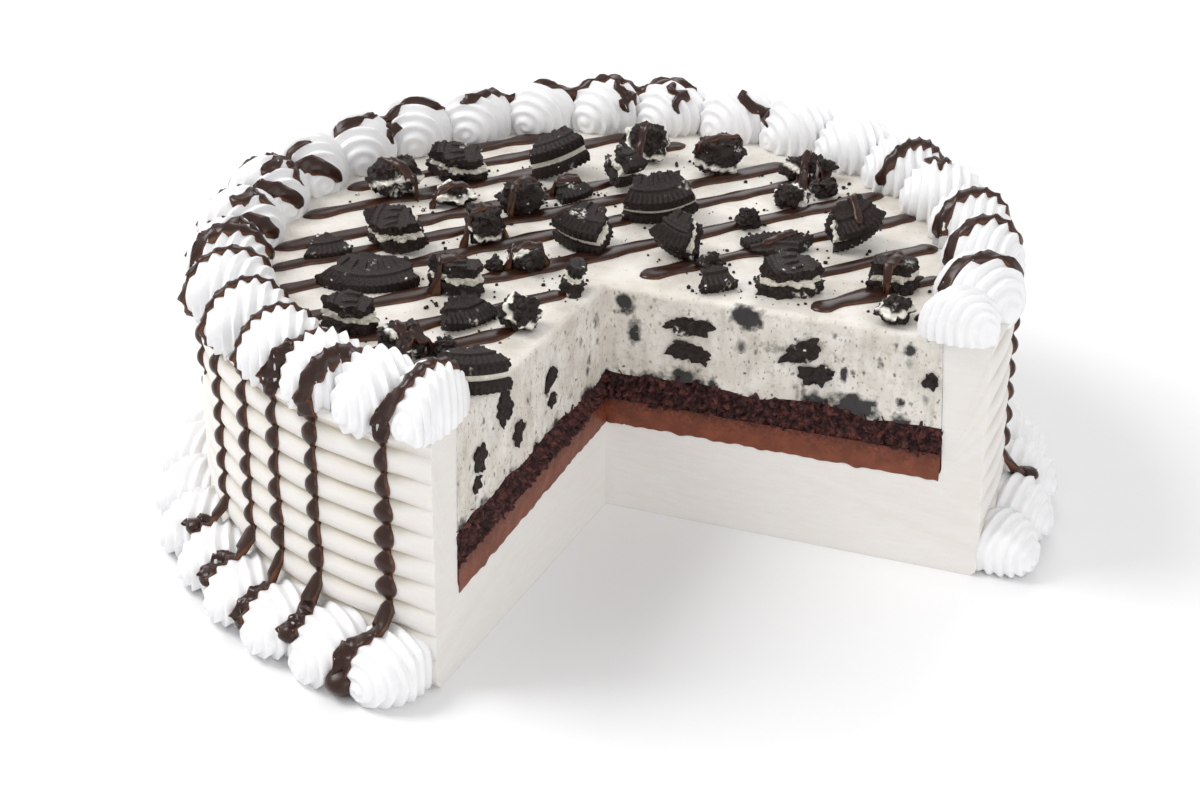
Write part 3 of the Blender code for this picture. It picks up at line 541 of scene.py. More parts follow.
def fudge_material(colours):
    """Fudge: smooth and slightly moist, mottled where it is cut and darker towards its top."""
    made, tree, shader, place = new_material("fudge", 0.42, soft=0.1, coat=0.03, shine=0.3)
    clouds = ramp(tree, texture(tree, place, 230.0, 5.0), 0.38, 0.70)
    fine = texture(tree, place, 1100.0, 3.0)
    base = mix_colours(tree, clouds, colours.fudge, tinted(colours.fudge, 1.5, 1.6, 1.6))
    mottled = maths(tree, "ADD", ramp(tree, fine, 0.3, 0.7, -0.5, 0.5), attribute(tree, "smudge"))
    base = mix_colours(tree, ramp(tree, mottled, 0.25, 1.1), base, tinted(colours.fudge, 0.62, 0.55, 0.55))
    set_looks(tree, shader, base, fine, 0.25 * MM, 0.6)
    return made


def crumbly_material(name, dark, light, grain, roughness, depth):
    """Dry crumb from a dark to a light shade, with grains of a given size."""
    made, tree, shader, place = new_material(name, roughness, shine=0.3)
    crumb = placed(tree, crumb_group, place, Grain=grain)
    base = mix_colours(tree, ramp(tree, crumb["Shade"], 0.46, 0.72), dark, light)
    set_looks(tree, shader, base, crumb["Height"], depth, 0.9)
    return made


def cookie_material(colours):
    """Chocolate wafer: dark crumb, with smears and crumbs of its cream here and there."""
    made, tree, shader, place = new_material("chocolate cookie", 0.52, shine=0.25)
    crumb = placed(tree, crumb_group, place, Grain=0.9 * MM)
    base = mix_colours(tree, ramp(tree, crumb["Shade"], 0.42, 0.72), colours.cookie,
                       tinted(colours.cookie, 2.1, 2.0, 2.0))
    smears = ramp(tree, texture(tree, place, 150.0), 0.64, 0.74)
    patches = ramp(tree, texture(tree, place, 900.0, 4.0), 0.48, 0.60)
    specks = placed(tree, specks_group, place, Size=1.3 * MM, Share=0.035)["Mask"]
    shown = maths(tree, "MAXIMUM", maths(tree, "MULTIPLY", smears, patches), specks)
    shown = maths(tree, "MAXIMUM", shown, attribute(tree, "cream"))
    base = mix_colours(tree, shown, base, colours.filling)
    set_looks(tree, shader, base, crumb["Height"], 0.30 * MM, 0.9)
    return made


def sauce_material(colours):
    """Sauce: dark and glossy where it is thick, red-brown where it thins out at its edges."""
    made, tree, shader, place = new_material("dark sauce", 0.28, soft=0.08, shine=0.38)
    uneven = texture(tree, place, 350.0)
    wavy = maths(tree, "ADD", attribute(tree, "thin"), ramp(tree, uneven, 0.3, 0.7, -0.2, 0.2))
    base = mix_colours(tree, ramp(tree, wavy, 0.55, 1.05), colours.sauce, colours.thin_sauce)
    set_looks(tree, shader, base, uneven, 0.10 * MM, 0.4)
    return made


# Shapes


def clamp(value):
    return min(1.0, max(0.0, value))


def facing(turn):
    """Level direction at an angle round the cake."""
    return Vector((math.cos(turn), math.sin(turn), 0))


def new_piece(name, made, materials, sharp=None):
    """Finished bmesh as an object at the origin, smooth but for edges sharper than an angle."""
    if sharp is not None:
        for edge in made.edges:
            if edge.is_manifold and edge.calc_face_angle() > sharp:
                edge.smooth = False
    mesh = bpy.data.meshes.new(name)
    made.to_mesh(mesh)
    made.free()
    for material in materials:
        mesh.materials.append(material)
    mesh.shade_smooth()
    piece = bpy.data.objects.new(name, mesh)
    bpy.context.scene.collection.objects.link(piece)
    return piece


def hand_over(piece, slot, *nodes):
    """Let a piece ride on the cake and hide the nodes that it stands for; its slot is not used."""
    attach(piece, "root")
    if nodes:
        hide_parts(*nodes)


def everything(made):
    return made.verts[:] + made.edges[:] + made.faces[:]


def trim(made, point, gone):
    """Cut everything off on one side of a plane and close the cut."""
    cut = bmesh.ops.bisect_plane(made, geom=everything(made), plane_co=point, plane_no=gone,
                                 clear_outer=True)
    rim = [part for part in cut["geom_cut"] if isinstance(part, bmesh.types.BMEdge)]
    for edge in rim:
        edge.smooth = False
    bmesh.ops.holes_fill(made, edges=rim, sides=0)


def spun(outline, steps):
    """Solid of revolution from radius and height pairs that start and end on its axis."""
    made = bmesh.new()
    corners = [made.verts.new((radius, 0, height)) for radius, height in outline]
    edges = [made.edges.new(pair) for pair in zip(corners, corners[1:])]
    bmesh.ops.spin(made, geom=corners + edges, cent=(0, 0, 0), axis=UP, angle=2 * math.pi,
                   steps=steps, use_merge=True)
    bmesh.ops.remove_doubles(made, verts=made.verts[:], dist=0.001 * MM)
    return made


def pull_up(made, faces, height):
    """Raise faces into a solid whose faces point outwards."""
    raised = bmesh.ops.extrude_face_region(made, geom=faces)
    tops = [part for part in raised["geom"] if isinstance(part, bmesh.types.BMVert)]
    bmesh.ops.translate(made, verts=tops, vec=(0, 0, height))
    bmesh.ops.recalc_face_normals(made, faces=made.faces[:])


def pour(source, target, shift=None, material=None):
    """Add one bmesh to another, moved and given a material where these are set, and free it."""
    if shift is not None:
        bmesh.ops.translate(source, verts=source.verts[:], vec=shift)
    if material is not None:
        for face in source.faces:
            face.material_index = material
    mesh = bpy.data.meshes.new("poured")
    source.to_mesh(mesh)
    source.free()
    target.from_mesh(mesh)
    bpy.data.meshes.remove(mesh)


def boolean(target, other, operation):
    """Combine two bmeshes' solids through a Boolean modifier and give back the result."""
    objects = []
    for label, source in (("target", target), ("other", other)):
        mesh = bpy.data.meshes.new(label)
        source.to_mesh(mesh)
        source.free()
        made = bpy.data.objects.new(label, mesh)
        bpy.context.scene.collection.objects.link(made)
        objects.append(made)
    change = objects[0].modifiers.new("combine", "BOOLEAN")
    change.operation = operation
    change.object = objects[1]
    change.solver = "MANIFOLD"
    bpy.context.view_layer.update()
    result = bmesh.new()
    result.from_object(objects[0], bpy.context.evaluated_depsgraph_get())
    for made in objects:
        mesh = made.data
        bpy.data.objects.remove(made, do_unlink=True)
        bpy.data.meshes.remove(mesh)
    return result


def gap_depth(point):
    """How far a point lies inside the slice's gap. It is negative in the cake."""
    away = point - SLICE_POINT
    return min(away.dot(LEFT_GAP), away.dot(RIGHT_GAP))


def wedge():
    """Tall solid that fills the slice's gap."""
    made = bmesh.new()
    reach = 300 * MM
    low, high = -20 * MM, 120 * MM
    plan = [SLICE_POINT + UP * low]
    for way in (LEFT_WAY, RIGHT_WAY):
        plan.append(SLICE_POINT + Vector((math.cos(way) * reach, math.sin(way) * reach, low)))
    base = made.faces.new([made.verts.new(point) for point in plan])
    pull_up(made, [base], high - low)
    return made


def left_of_middle(point):
    """How far a place lies out from the middle, along the left cut."""
    return max(0.0, point.x * math.cos(LEFT_WAY) + point.y * math.sin(LEFT_WAY))


def sagged(height, point):
    """Height of a level layer at a place, lower towards the left cut."""
    return height - SAG * left_of_middle(point)


def shares(count):
    """Steps from 0 to 1."""
    return [step / count for step in range(count + 1)]


def outside_wall(sizes, height):
    """Radius of the ribs' crests at a height."""
    return sizes.wall_radius + (sizes.wall_top_radius - sizes.wall_radius) * height / CAKE_TOP


def inside_wall(sizes, height):
    """Radius inside the cup at a height."""
    share = (height - sizes.floor_top) / (CAKE_TOP - sizes.floor_top)
    return CUP_FLOOR_RADIUS + (CUP_MOUTH_RADIUS - CUP_FLOOR_RADIUS) * share


def rib_swell(sizes, height):
    """1 on the crest of a rib and 0 in the groove below or above it."""
    share = ((height - FIRST_GROOVE) / sizes.rib_pitch) % 1.0
    return (1 - abs(2 * share - 1) ** 2.1) ** 0.75


def ribbed_outline(sizes):
    """Radius and height of the wall's ribs, from the foot to the top."""
    points = []
    for index in range(RIB_COUNT * RIB_STEPS + 1):
        height = FIRST_GROOVE + index * sizes.rib_pitch / RIB_STEPS
        inward = sizes.rib_depth * (1 - rib_swell(sizes, height))
        points.append((outside_wall(sizes, height) - inward, height))
    return [(outside_wall(sizes, 0) - sizes.rib_depth, 0.0)] + points


def ribbed_cup(sizes):
    """Vanilla cup with its ribs, floor and inside wall, and the slice taken out of it."""
    edge = 1.2 * MM
    outline = [(0.0, 0.0)] + ribbed_outline(sizes)
    outline.append((outside_wall(sizes, CAKE_TOP), CAKE_TOP - edge))
    outline.append((outside_wall(sizes, CAKE_TOP) - edge, CAKE_TOP))
    outline.append((CUP_MOUTH_RADIUS, CAKE_TOP))
    for step in range(5, -1, -1):
        turn = math.radians(90) * step / 5
        outline.append((CUP_FLOOR_RADIUS - CUP_CORNER + CUP_CORNER * math.sin(turn),
                        sizes.floor_top + CUP_CORNER - CUP_CORNER * math.cos(turn)))
    outline.append((0.0, sizes.floor_top))
    made = spun(outline, CUP_SEGMENTS)
    bmesh.ops.recalc_face_normals(made, faces=made.faces[:])
    for vertex in made.verts:
        place = vertex.co
        flat = math.hypot(place.x, place.y)
        if flat > CUP_MOUTH_RADIUS + 4 * MM and place.z > 0:
            around = Vector((math.atan2(place.y, place.x) * 6, place.z / (9 * MM), 2.0))
            waver = 0.28 * MM * noise.noise(around) + 0.10 * MM * noise.noise(place / (3 * MM))
            place.xy *= 1 + waver / flat
            place.z += 0.35 * MM * noise.noise(around * 1.7) * clamp(place.z / (5 * MM))
        elif sizes.floor_top - ON_CUT < place.z < sizes.floor_top + CUP_CORNER + ON_CUT:
            place.z -= SAG * left_of_middle(place)
    cup = boolean(made, wedge(), "DIFFERENCE")
    # Painted shade mask: how deep each point of the ribbed wall lies in a groove, fading where the ribs
    # are pressed flat near the cuts.
    groove = cup.verts.layers.float.new("groove")
    for vertex in cup.verts:
        height = vertex.co.z
        if vertex.co.xy.length > CUP_MOUTH_RADIUS + 6 * MM and 0 < height < CAKE_TOP - 1.5 * MM:
            near = clamp(1 + gap_depth(vertex.co) / (11 * MM))
            pressed = 0.85 * near * near * (3 - 2 * near)
            swell = rib_swell(sizes, height)
            vertex.co.xy *= 1 + sizes.rib_depth * (1 - swell) * pressed / vertex.co.xy.length
            vertex[groove] = (1 - swell) ** 1.5 * (1 - pressed)
    for face in cup.faces:
        if max(face.normal.dot(LEFT_GAP), face.normal.dot(RIGHT_GAP)) > 0.99 and all(
                on_which_cut(vertex.co) for vertex in face.verts):
            face.material_index = 1
    return cup


def cut_end(way, radius):
    """Distance from the slice's point along a cut to a circle round the cake's middle."""
    along = SLICE_POINT.dot(facing(way))
    return -along + math.sqrt(along * along - SLICE_POINT.length_squared + radius * radius)


def on_which_cut(point):
    """Name of the cut that a point lies on, or None."""
    away = point - SLICE_POINT
    for name, (way, gap) in CUTS.items():
        if abs(away.xy.dot(gap.xy)) < ON_CUT and away.xy.dot(facing(way).xy) > -ON_CUT:
            return name
    return None


def layer(radius_at, low_at, high_at, columns, rows):
    """Layer of the cake with fine faces where it is cut.

    Returns the bmesh and, for each of its vertices on a cut, the cut, how far out it
    lies and how high up the layer, from 0 to 1.
    """
    made = bmesh.new()
    made.verts.layers.float.new("smudge")
    made.verts.layers.float.new("cut")
    radius = radius_at(0.0)
    bmesh.ops.create_circle(made, cap_ends=True, radius=radius, segments=180)
    for _, gap in CUTS.values():
        bmesh.ops.bisect_plane(made, geom=everything(made), plane_co=SLICE_POINT, plane_no=gap)
    gone = [face for face in made.faces if gap_depth(face.calc_center_median()) > 0]
    bmesh.ops.delete(made, geom=gone, context="FACES")
    pull_up(made, made.faces[:], 1)

    for upright, cuts in ((False, columns), (True, rows)):
        edges = []
        for edge in made.edges:
            first, second = (vertex.co for vertex in edge.verts)
            standing = abs(first.z - second.z) > 1e-6
            if standing == upright and all(map(on_which_cut, (first, second, (first + second) / 2))):
                edges.append(edge)
        bmesh.ops.subdivide_edges(made, edges=edges, cuts=cuts, use_grid_fill=True, use_only_quads=True)
    made.normal_update()
    caps = [face for face in made.faces if abs(face.normal.z) > 0.9]
    bmesh.ops.inset_region(made, faces=caps, thickness=2.5 * MM, use_boundary=True, use_even_offset=True)
    faces = {}
    for vertex in made.verts:
        share = vertex.co.z
        target = radius_at(share)
        cut = on_which_cut(vertex.co)
        if cut is not None:
            way = CUTS[cut][0]
            out = (vertex.co.xy - SLICE_POINT.xy).length * cut_end(way, target) / cut_end(way, radius)
            vertex.co.xy = SLICE_POINT.xy + facing(way).xy * out
            faces[vertex] = (cut, out, share)
        else:
            vertex.co.xy *= target / radius
        low, high = low_at(vertex.co), high_at(vertex.co)
        vertex.co.z = low + (high - low) * share
    return made, faces


def crumbs(place, grain):
    """Relief of pressed crumbs: up to 0.5 on a crumb, down to -0.5 between two of them."""
    nearest, second = noise.voronoi(place / grain)[0][:2]
    return min(1.0, 2.0 * (second - nearest)) - 0.5


def push_out(vertex, cut, amount):
    """Move a vertex of a cut face out into the gap (or in, where it is negative)."""
    vertex.co += CUTS[cut][1] * amount


def crunch_level(sizes, point):
    """Height of the crunch's rough top at a place."""
    flat = Vector((point.x, point.y, 0.0))
    lumps = noise.noise(flat / (17 * MM) + Vector((0, 0, 3.7)))
    grains = noise.noise(flat / (8 * MM) + Vector((0, 0, 9.1)))
    return sizes.crunch_top - CRUNCH_TOP_SAG * left_of_middle(point) + 1.7 * MM * (lumps + 0.8 * grains)


def speckled_cream(sizes):
    """Cookies-and-cream ice cream, softly rounded along its cut edges."""
    def radius_at(share):
        height = sizes.crunch_top + (CAKE_TOP - sizes.crunch_top) * share
        return inside_wall(sizes, height)

    made, faces = layer(radius_at, lambda point: crunch_level(sizes, point) - OVERLAP,
                        lambda point: CAKE_TOP, *CREAM_GRID)
    smudge = made.verts.layers.float["smudge"]
    cut_mark = made.verts.layers.float["cut"]
    for vertex, (cut, out, share) in faces.items():
        place = vertex.co.copy()
        size = ROUND_EDGE * (1 + 0.5 * noise.noise(Vector((out / (11 * MM), 0.0, 4.0))))
        above = place.z - (CAKE_TOP - size)
        inward = size - math.sqrt(max(0.0, size * size - above * above)) if above > 0 else 0.0
        smear = Vector((out / (1.3 * MM), place.z / (7 * MM), 1.0 if cut == "left" else 5.0))
        relief = 0.20 * MM * noise.noise(smear) + 0.22 * MM * noise.noise(place / (2.2 * MM))
        fading = min(1.0, (1 - share) * 8, share * 8)
        push_out(vertex, cut, relief * fading - inward)
        vertex[cut_mark] = clamp((CAKE_TOP - place.z) / (1.6 * MM))
        above = place.z - crunch_level(sizes, place)
        dusted = noise.noise(Vector((out / (4.5 * MM), place.z / (9 * MM), 6.0))) * 1.6
        vertex[smudge] = min(0.9, max(0.0, dusted)) * clamp(1 - above / (4.5 * MM))
        for patch_cut, patch_out, height, long, width, strength in SOFT_PATCHES:
            if patch_cut == cut:
                across = (out / MM - patch_out) / (long / 2)
                up = (place.z / MM - height) / (width / 2)
                far = math.hypot(across, up) + 0.45 * noise.noise(place / (2.5 * MM))
                vertex[smudge] = max(vertex[smudge], strength * clamp(1.6 - far))
    return made


def rough_crunch(sizes):
    """Cookie crunch with a ragged, crumbly cut that stands a little proud of the cream."""
    made, faces = layer(lambda share: inside_wall(sizes, sizes.fudge_top),
                        lambda point: sagged(sizes.fudge_top, point) - OVERLAP,
                        lambda point: crunch_level(sizes, point) + OVERLAP, *CRUNCH_GRID)
    for vertex, (cut, out, share) in faces.items():
        place = vertex.co.copy()
        push_out(vertex, cut, 0.35 * MM + 1.5 * MM * crumbs(place, 2.6 * MM)
                 + 1.0 * MM * crumbs(place, 1.2 * MM))
        ragged = noise.noise(Vector((out / (1.5 * MM), 0, 7.0)))
        ragged += noise.noise(Vector((out / (3.6 * MM), 0, 2.0)))
        vertex.co.z += ragged * (2.0 * MM * share ** 2 - 1.1 * MM * (1 - share) ** 2)
    return made


def smooth_fudge(sizes):
    """Fudge with a nearly smooth cut."""
    made, faces = layer(lambda share: CUP_FLOOR_RADIUS - 0.5 * MM,
                        lambda point: sagged(sizes.floor_top, point) - OVERLAP,
                        lambda point: sagged(sizes.fudge_top, point) + OVERLAP, *FUDGE_GRID)
    darkening = made.verts.layers.float["smudge"]
    for vertex, (cut, out, share) in faces.items():
        place = vertex.co.copy()
        vertex[darkening] = share * share
        push_out(vertex, cut, 0.12 * MM + 0.22 * MM * noise.noise(place / (3.2 * MM)))
        vertex.co.z += 0.8 * MM * (1 - share) ** 2 * noise.noise(Vector((out / (3.2 * MM), 0, 1.0)))
    return made


# Piped swirls


def border_turns(first, last, wide, narrow):
    """Angles round the cake of one border's swirls, closer together at the front left."""
    turns = [first]
    while turns[-1] < last:
        share = clamp((turns[-1] - math.pi) / (last - math.pi))
        turns.append(turns[-1] + wide + (narrow - wide) * share)
    return turns


def ridge_height(share):
    """Height over one ridge, from its sharp crest (1) to its rounded groove (0) and back."""
    return abs(2 * (share % 1.0) - 1) ** 1.2


def swirl(made, piping, slant, centre, outward, half_length, half_width, half_height, droop, seed):
    """One piped swirl: a ball ridged in rings round an axis that slants across the border.

    The axis droops at both ends, so that each eye lies low on the swirl.
    """
    draw = random.Random(seed)
    along = UP.cross(outward)
    slant *= draw.uniform(0.8, 1.2)
    axis = outward * math.cos(slant) - along * math.sin(slant)
    beside = UP.cross(axis)
    count = piping.ridges
    bmesh.ops.create_uvsphere(made, u_segments=SWIRL_SEGMENTS, v_segments=count * ROWS_PER_RIDGE,
                              radius=1.0)
    shift = draw.uniform(0.0, 1.0)
    for vertex in made.verts:
        unit = vertex.co.normalized()
        down = math.acos(max(-1.0, min(1.0, unit.z)))
        round_turn = math.atan2(unit.y, unit.x) / (2 * math.pi)
        ridge = ridge_height(count * down / math.pi + round_turn + shift)
        depth = piping.ridge_depth * min(1.0, 0.25 + 0.85 * math.sin(down))
        size = 1 - depth * (1 - ridge)
        spot = unit * size
        low = spot.x - droop * spot.z * spot.z
        turned = axis * spot.z + beside * spot.y
        vertex.co = (centre + outward * turned.dot(outward) * half_width
                     + along * turned.dot(along) * half_length + UP * low * half_height)


def smear_flat(made, gap):
    """Press what reaches past a cut back to it, as the knife does, with its ridges left faint."""
    start = 1.5 * MM
    for vertex in made.verts:
        past = (vertex.co - SLICE_POINT).dot(gap) + start
        if past > 0:
            vertex.co -= gap * past * 0.62


def piped_border(piping, slant, turns, seed, ring, reach, axis_height, rise, base, hang, droop):
    """Ring of overlapping swirls, smeared flat at the slice and cut off at their base."""
    draw = random.Random(seed)
    sizes = [(draw.uniform(*SWIRL_WIDTHS), draw.uniform(*SWIRL_HEIGHTS)) for _ in turns]
    border = bmesh.new()
    for index in range(1, len(turns) - 1):
        turn = turns[index]
        outward = facing(turn)
        centre = outward * ring + UP * (base + axis_height)
        pitch = (turns[index + 1] - turns[index - 1]) / 2 * ring
        if gap_depth(centre) > 0.3 * pitch:
            continue
        width, height = sizes[index]
        away = centre - SLICE_POINT
        near = [gap for way, gap in CUTS.values()
                if away.dot(facing(way)) > 0 and abs(away.dot(gap)) < pitch]
        at_cut = any(abs(away.dot(gap)) < 0.5 * pitch for gap in near)
        if at_cut and near[0] == RIGHT_GAP:
            width, height = SQUEEZED[0] * width, SQUEEZED[1] * height
        made = bmesh.new()
        swirl(made, piping, slant * (0.6 if at_cut else 1.0), centre, outward,
              max(0.61 * pitch, 0.94 * reach), reach * width, rise * height, droop,
              seed * 100 + index)
        trim(made, UP * (base - (0.0 if at_cut else hang)), -UP)
        for gap in near:
            smear_flat(made, gap)
        pour(made, border)
    return border


# Broken cookies


def raised_ornament(radius, turn):
    """Plain relief on a cookie's face: ridges round the rim, a ring and a wreath of dashes."""
    millimetres = radius / MM
    if millimetres > 18.2:
        return 0.55 * MM * (0.5 + 0.5 * math.cos(turn * COOKIE_RIDGES))
    if 16.2 < millimetres < 17.2:
        return 0.45 * MM
    if 10.5 < millimetres < 14.6:
        return 0.50 * MM if math.cos(turn * 26) > 0.1 else 0.0
    if 7.0 < millimetres < 8.2:
        return 0.45 * MM
    return 0.0


WHOLE_WAFERS = {}


def wafer_copy(face_up):
    """Fresh copy of a whole wafer, which is modelled once for each way up."""
    if face_up not in WHOLE_WAFERS:
        whole = whole_wafer(face_up)
        WHOLE_WAFERS[face_up] = bpy.data.meshes.new("whole_wafer")
        whole.to_mesh(WHOLE_WAFERS[face_up])
        whole.free()
    made = bmesh.new()
    made.from_mesh(WHOLE_WAFERS[face_up])
    return made


def whole_wafer(face_up):
    """Whole wafer lying on the ground, with relief on its upper or its lower face."""
    rings = (0, 3.5, 6.6, 7.0, 8.2, 8.6, 10.2, 10.5, 12.5, 14.6, 15.0, 15.9, 16.3, 17.1, 17.5, 18.1,
             18.3, 19.6, 21.0, 21.7)
    outline = [(ring * MM, WAFER) for ring in rings]
    outline += [(COOKIE_RADIUS, WAFER - 0.7 * MM), (COOKIE_RADIUS, 0.6 * MM), (21.6 * MM, 0.0),
                (0.0, 0.0)]
    made = spun(outline, COOKIE_RIDGES * 4)
    for vertex in made.verts:
        flat = math.hypot(vertex.co.x, vertex.co.y)
        turn = math.atan2(vertex.co.y, vertex.co.x)
        if vertex.co.z > WAFER - 0.1 * MM and flat > 1 * MM:
            vertex.co.z += raised_ornament(flat, turn) - 0.45 * MM
        elif flat > COOKIE_RADIUS - 0.1 * MM:
            vertex.co.xy *= 1 - 0.5 * MM / flat * (0.5 - 0.5 * math.cos(turn * COOKIE_RIDGES))
    if not face_up:
        for vertex in made.verts:
            vertex.co.z = WAFER - vertex.co.z
    bmesh.ops.recalc_face_normals(made, faces=made.faces[:])
    return made


def broken_outline(width, depth, rim, draw):
    """Plan of a broken cookie: a stretch of round rim at the front, or jagged all round."""
    half_width, half_depth = width / 2, depth / 2
    points = []
    if rim:
        spread = math.asin(min(0.98, half_width / COOKIE_RADIUS))
        for step in range(RIM_POINTS):
            turn = spread * (step / 2 - 1)
            points.append((COOKIE_RADIUS * math.sin(turn),
                           -half_depth + COOKIE_RADIUS * (1 - math.cos(turn))))
        for across, back in BROKEN_BACK:
            points.append((half_width * (across + draw.uniform(-0.12, 0.12)),
                           half_depth * (back + draw.uniform(-0.2, 0.1))))
    else:
        for step in range(JAGGED_POINTS):
            turn = 2 * math.pi * (step + draw.uniform(-0.25, 0.25)) / JAGGED_POINTS
            far = draw.uniform(*JAGGED_REACH)
            points.append((half_width * far * math.cos(turn), half_depth * far * math.sin(turn)))
    return points


def breaking_column(plan, rim, shrink, thick, seed, roughness):
    """Rough-sided column that leaves a broken piece when a whole wafer is cut down to it."""
    made = bmesh.new()
    corners = []
    for index, (x, y) in enumerate(plan):
        place = Vector((x, y, 0)) * (1 - shrink / max(4 * MM, math.hypot(x, y)))
        if rim and index < RIM_POINTS:
            place.y -= 2.5 * MM
        corners.append(made.verts.new((place.x, place.y, -1 * MM)))
    pull_up(made, [made.faces.new(corners)], thick + 2 * MM)
    for upright, cuts in ((False, 17), (True, 10)):
        edges = [edge for edge in made.edges
                 if (abs(edge.verts[0].co.z - edge.verts[1].co.z) > ON_CUT) == upright]
        bmesh.ops.subdivide_edges(made, edges=edges, cuts=cuts, use_grid_fill=True)
    for vertex in made.verts:
        place = vertex.co + Vector((seed * 7.3 * MM, 0, 0))
        away = Vector((vertex.co.x, vertex.co.y, 0)).normalized()
        relief = 1.5 * noise.noise(place / (3.2 * MM)) + crumbs(place, 1.7 * MM)
        vertex.co += away * roughness * relief
    return made


def broken_slab(size, rim, sandwich, draw, seed):
    """Broken wafer or sandwich: wafers are material 0 and their filling is material 1."""
    width, depth = size
    plan = broken_outline(width, depth, rim, draw)
    if rim:
        middle = Vector((0, -depth / 2 + COOKIE_RADIUS, 0))
    else:
        middle = Vector((12 * MM, 3 * MM, 0))
    piece = bmesh.new()
    levels = [(0.0, False), (WAFER + CREAM_FILLING, True)] if sandwich else [(0.0, True)]
    for number, (level, face_up) in enumerate(levels):
        wafer = wafer_copy(face_up)
        bmesh.ops.translate(wafer, verts=wafer.verts[:], vec=middle)
        column = breaking_column(plan, rim, number * 0.8 * MM, WAFER, seed + number * 31, 0.85 * MM)
        pour(boolean(wafer, column, "INTERSECT"), piece, UP * level)
    if sandwich:
        disc = bmesh.new()
        thick = CREAM_FILLING + 2 * FILLING_SUNK
        bmesh.ops.create_cone(disc, cap_ends=True, segments=64, radius1=20.6 * MM, radius2=20.6 * MM,
                              depth=thick)
        bmesh.ops.translate(disc, verts=disc.verts[:], vec=middle + UP * thick / 2)
        column = breaking_column(plan, False, 1.1 * MM, CREAM_FILLING, seed + 77, 1.0 * MM)
        pour(boolean(disc, column, "INTERSECT"), piece, UP * (WAFER - FILLING_SUNK), material=1)
    return piece


def crumbly_copy(node, cuts, roughness, seed, filling=None):
    """Copy of a solid with its form kept and its surface broken up into crumbs.

    A filling is a band of cream through it: its height over the middle, its tilt and the way
    it leans.
    """
    made = bmesh.new()
    made.verts.layers.float.new("cream")
    made.from_mesh(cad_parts[node].data)
    bmesh.ops.remove_doubles(made, verts=made.verts[:], dist=0.01 * MM)
    bmesh.ops.subdivide_edges(made, edges=made.edges[:], cuts=cuts, use_grid_fill=True)
    made.normal_update()
    low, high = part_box(node)
    middle = (low + high) / 2
    cream = made.verts.layers.float["cream"]
    moves = []
    for vertex in made.verts:
        place = vertex.co + Vector((seed * 3.1 * MM, 0, 0))
        chunk = crumbs(place, 4.2 * MM) + 0.6 * noise.noise(place / (3.0 * MM))
        moves.append(vertex.normal * roughness * (1.5 * chunk + 0.9 * crumbs(place, 1.5 * MM) - 0.2))
        if filling is not None:
            level, tilt, way = filling
            slope = Vector((math.cos(way) * math.sin(tilt), math.sin(way) * math.sin(tilt),
                            math.cos(tilt)))
            far = abs((vertex.co - middle).dot(slope) - level * MM)
            far += 0.8 * MM * noise.noise(place / (1.8 * MM))
            vertex[cream] = clamp((0.9 * MM - far) / (0.4 * MM))
    for vertex, move in zip(made.verts, moves):
        vertex.co += move
    return made


def broken_cookie(index):
    """Broken cookie at its place on the cake, its top as high as its solid's."""
    kind, place, size, turn, tilt, roll = COOKIES[index]
    node = f"cookie_{index + 1:02d}"
    if kind == "lump":
        return crumbly_copy(node, 8, 0.75 * MM, index, FILLINGS.get(index + 1))
    draw = random.Random(COOKIE_SEED + index)
    rim = kind in ("rim", "sandwich_rim", "half")
    made = broken_slab([side * MM for side in size], rim, kind.startswith("sandwich"), draw, index)
    pose = Matrix.Rotation(math.radians(turn), 4, "Z")
    pose @= Matrix.Rotation(math.radians(tilt), 4, "X") @ Matrix.Rotation(math.radians(roll), 4, "Y")
    bmesh.ops.transform(made, matrix=Matrix.Translation((place[0] * MM, place[1] * MM, 0)) @ pose,
                        verts=made.verts[:])
    highest = max(vertex.co.z for vertex in made.verts)
    bmesh.ops.translate(made, verts=made.verts[:], vec=(0, 0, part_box(node)[1].z - highest))
    trim(made, UP * (CAKE_TOP - 0.1 * MM), -UP)
    return made


def cut_chip(number):
    """Ragged chip of cookie that stands a little proud of the cut that it shows in."""
    node = f"chip_{number:02d}"
    made = crumbly_copy(node, 8, 0.40 * MM, number)
    low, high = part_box(node)
    middle = (low + high) / 2
    for vertex in made.verts:
        out = vertex.co - middle
        out *= 1 + CHIP_RAGGED * noise.noise(vertex.co / (1.5 * MM))
        out.z *= CHIP_TALLER
        vertex.co = middle + out
    away = middle - SLICE_POINT
    _, gap = min(CUTS.values(), key=lambda cut: abs(away.xy.dot(cut[1].xy)))
    bmesh.ops.translate(made, verts=made.verts[:], vec=gap * CHIP_PROUD)
    return made


# Sauce


def line_y(offset, x):
    """Y of a line of sauce at an X."""
    return offset * MM + math.tan(SAUCE_ANGLE) * x


def line_meets(offset, radius, side):
    """Where a line of sauce crosses a circle, on the left (-1) or the right (1), or None."""
    slope = math.tan(SAUCE_ANGLE)
    a = 1 + slope * slope
    b = slope * offset * MM
    root = b * b - a * ((offset * MM) ** 2 - radius * radius)
    if root < 0:
        return None
    x = (-b + side * math.sqrt(root)) / a
    return Vector((x, line_y(offset, x), 0))


def surface_of(*pieces):
    """Search tree of several pieces' surfaces, for laying sauce on them."""
    made = bmesh.new()
    for piece in pieces:
        made.from_mesh(piece.data)
    tree = BVHTree.FromBMesh(made)
    made.free()
    return tree


def landing(tree, core, aim):
    """Where sauce lands that is pressed towards a core from outside, or None."""
    return tree.ray_cast(core + aim * CAST_REACH, -aim, CAST_REACH)[0]


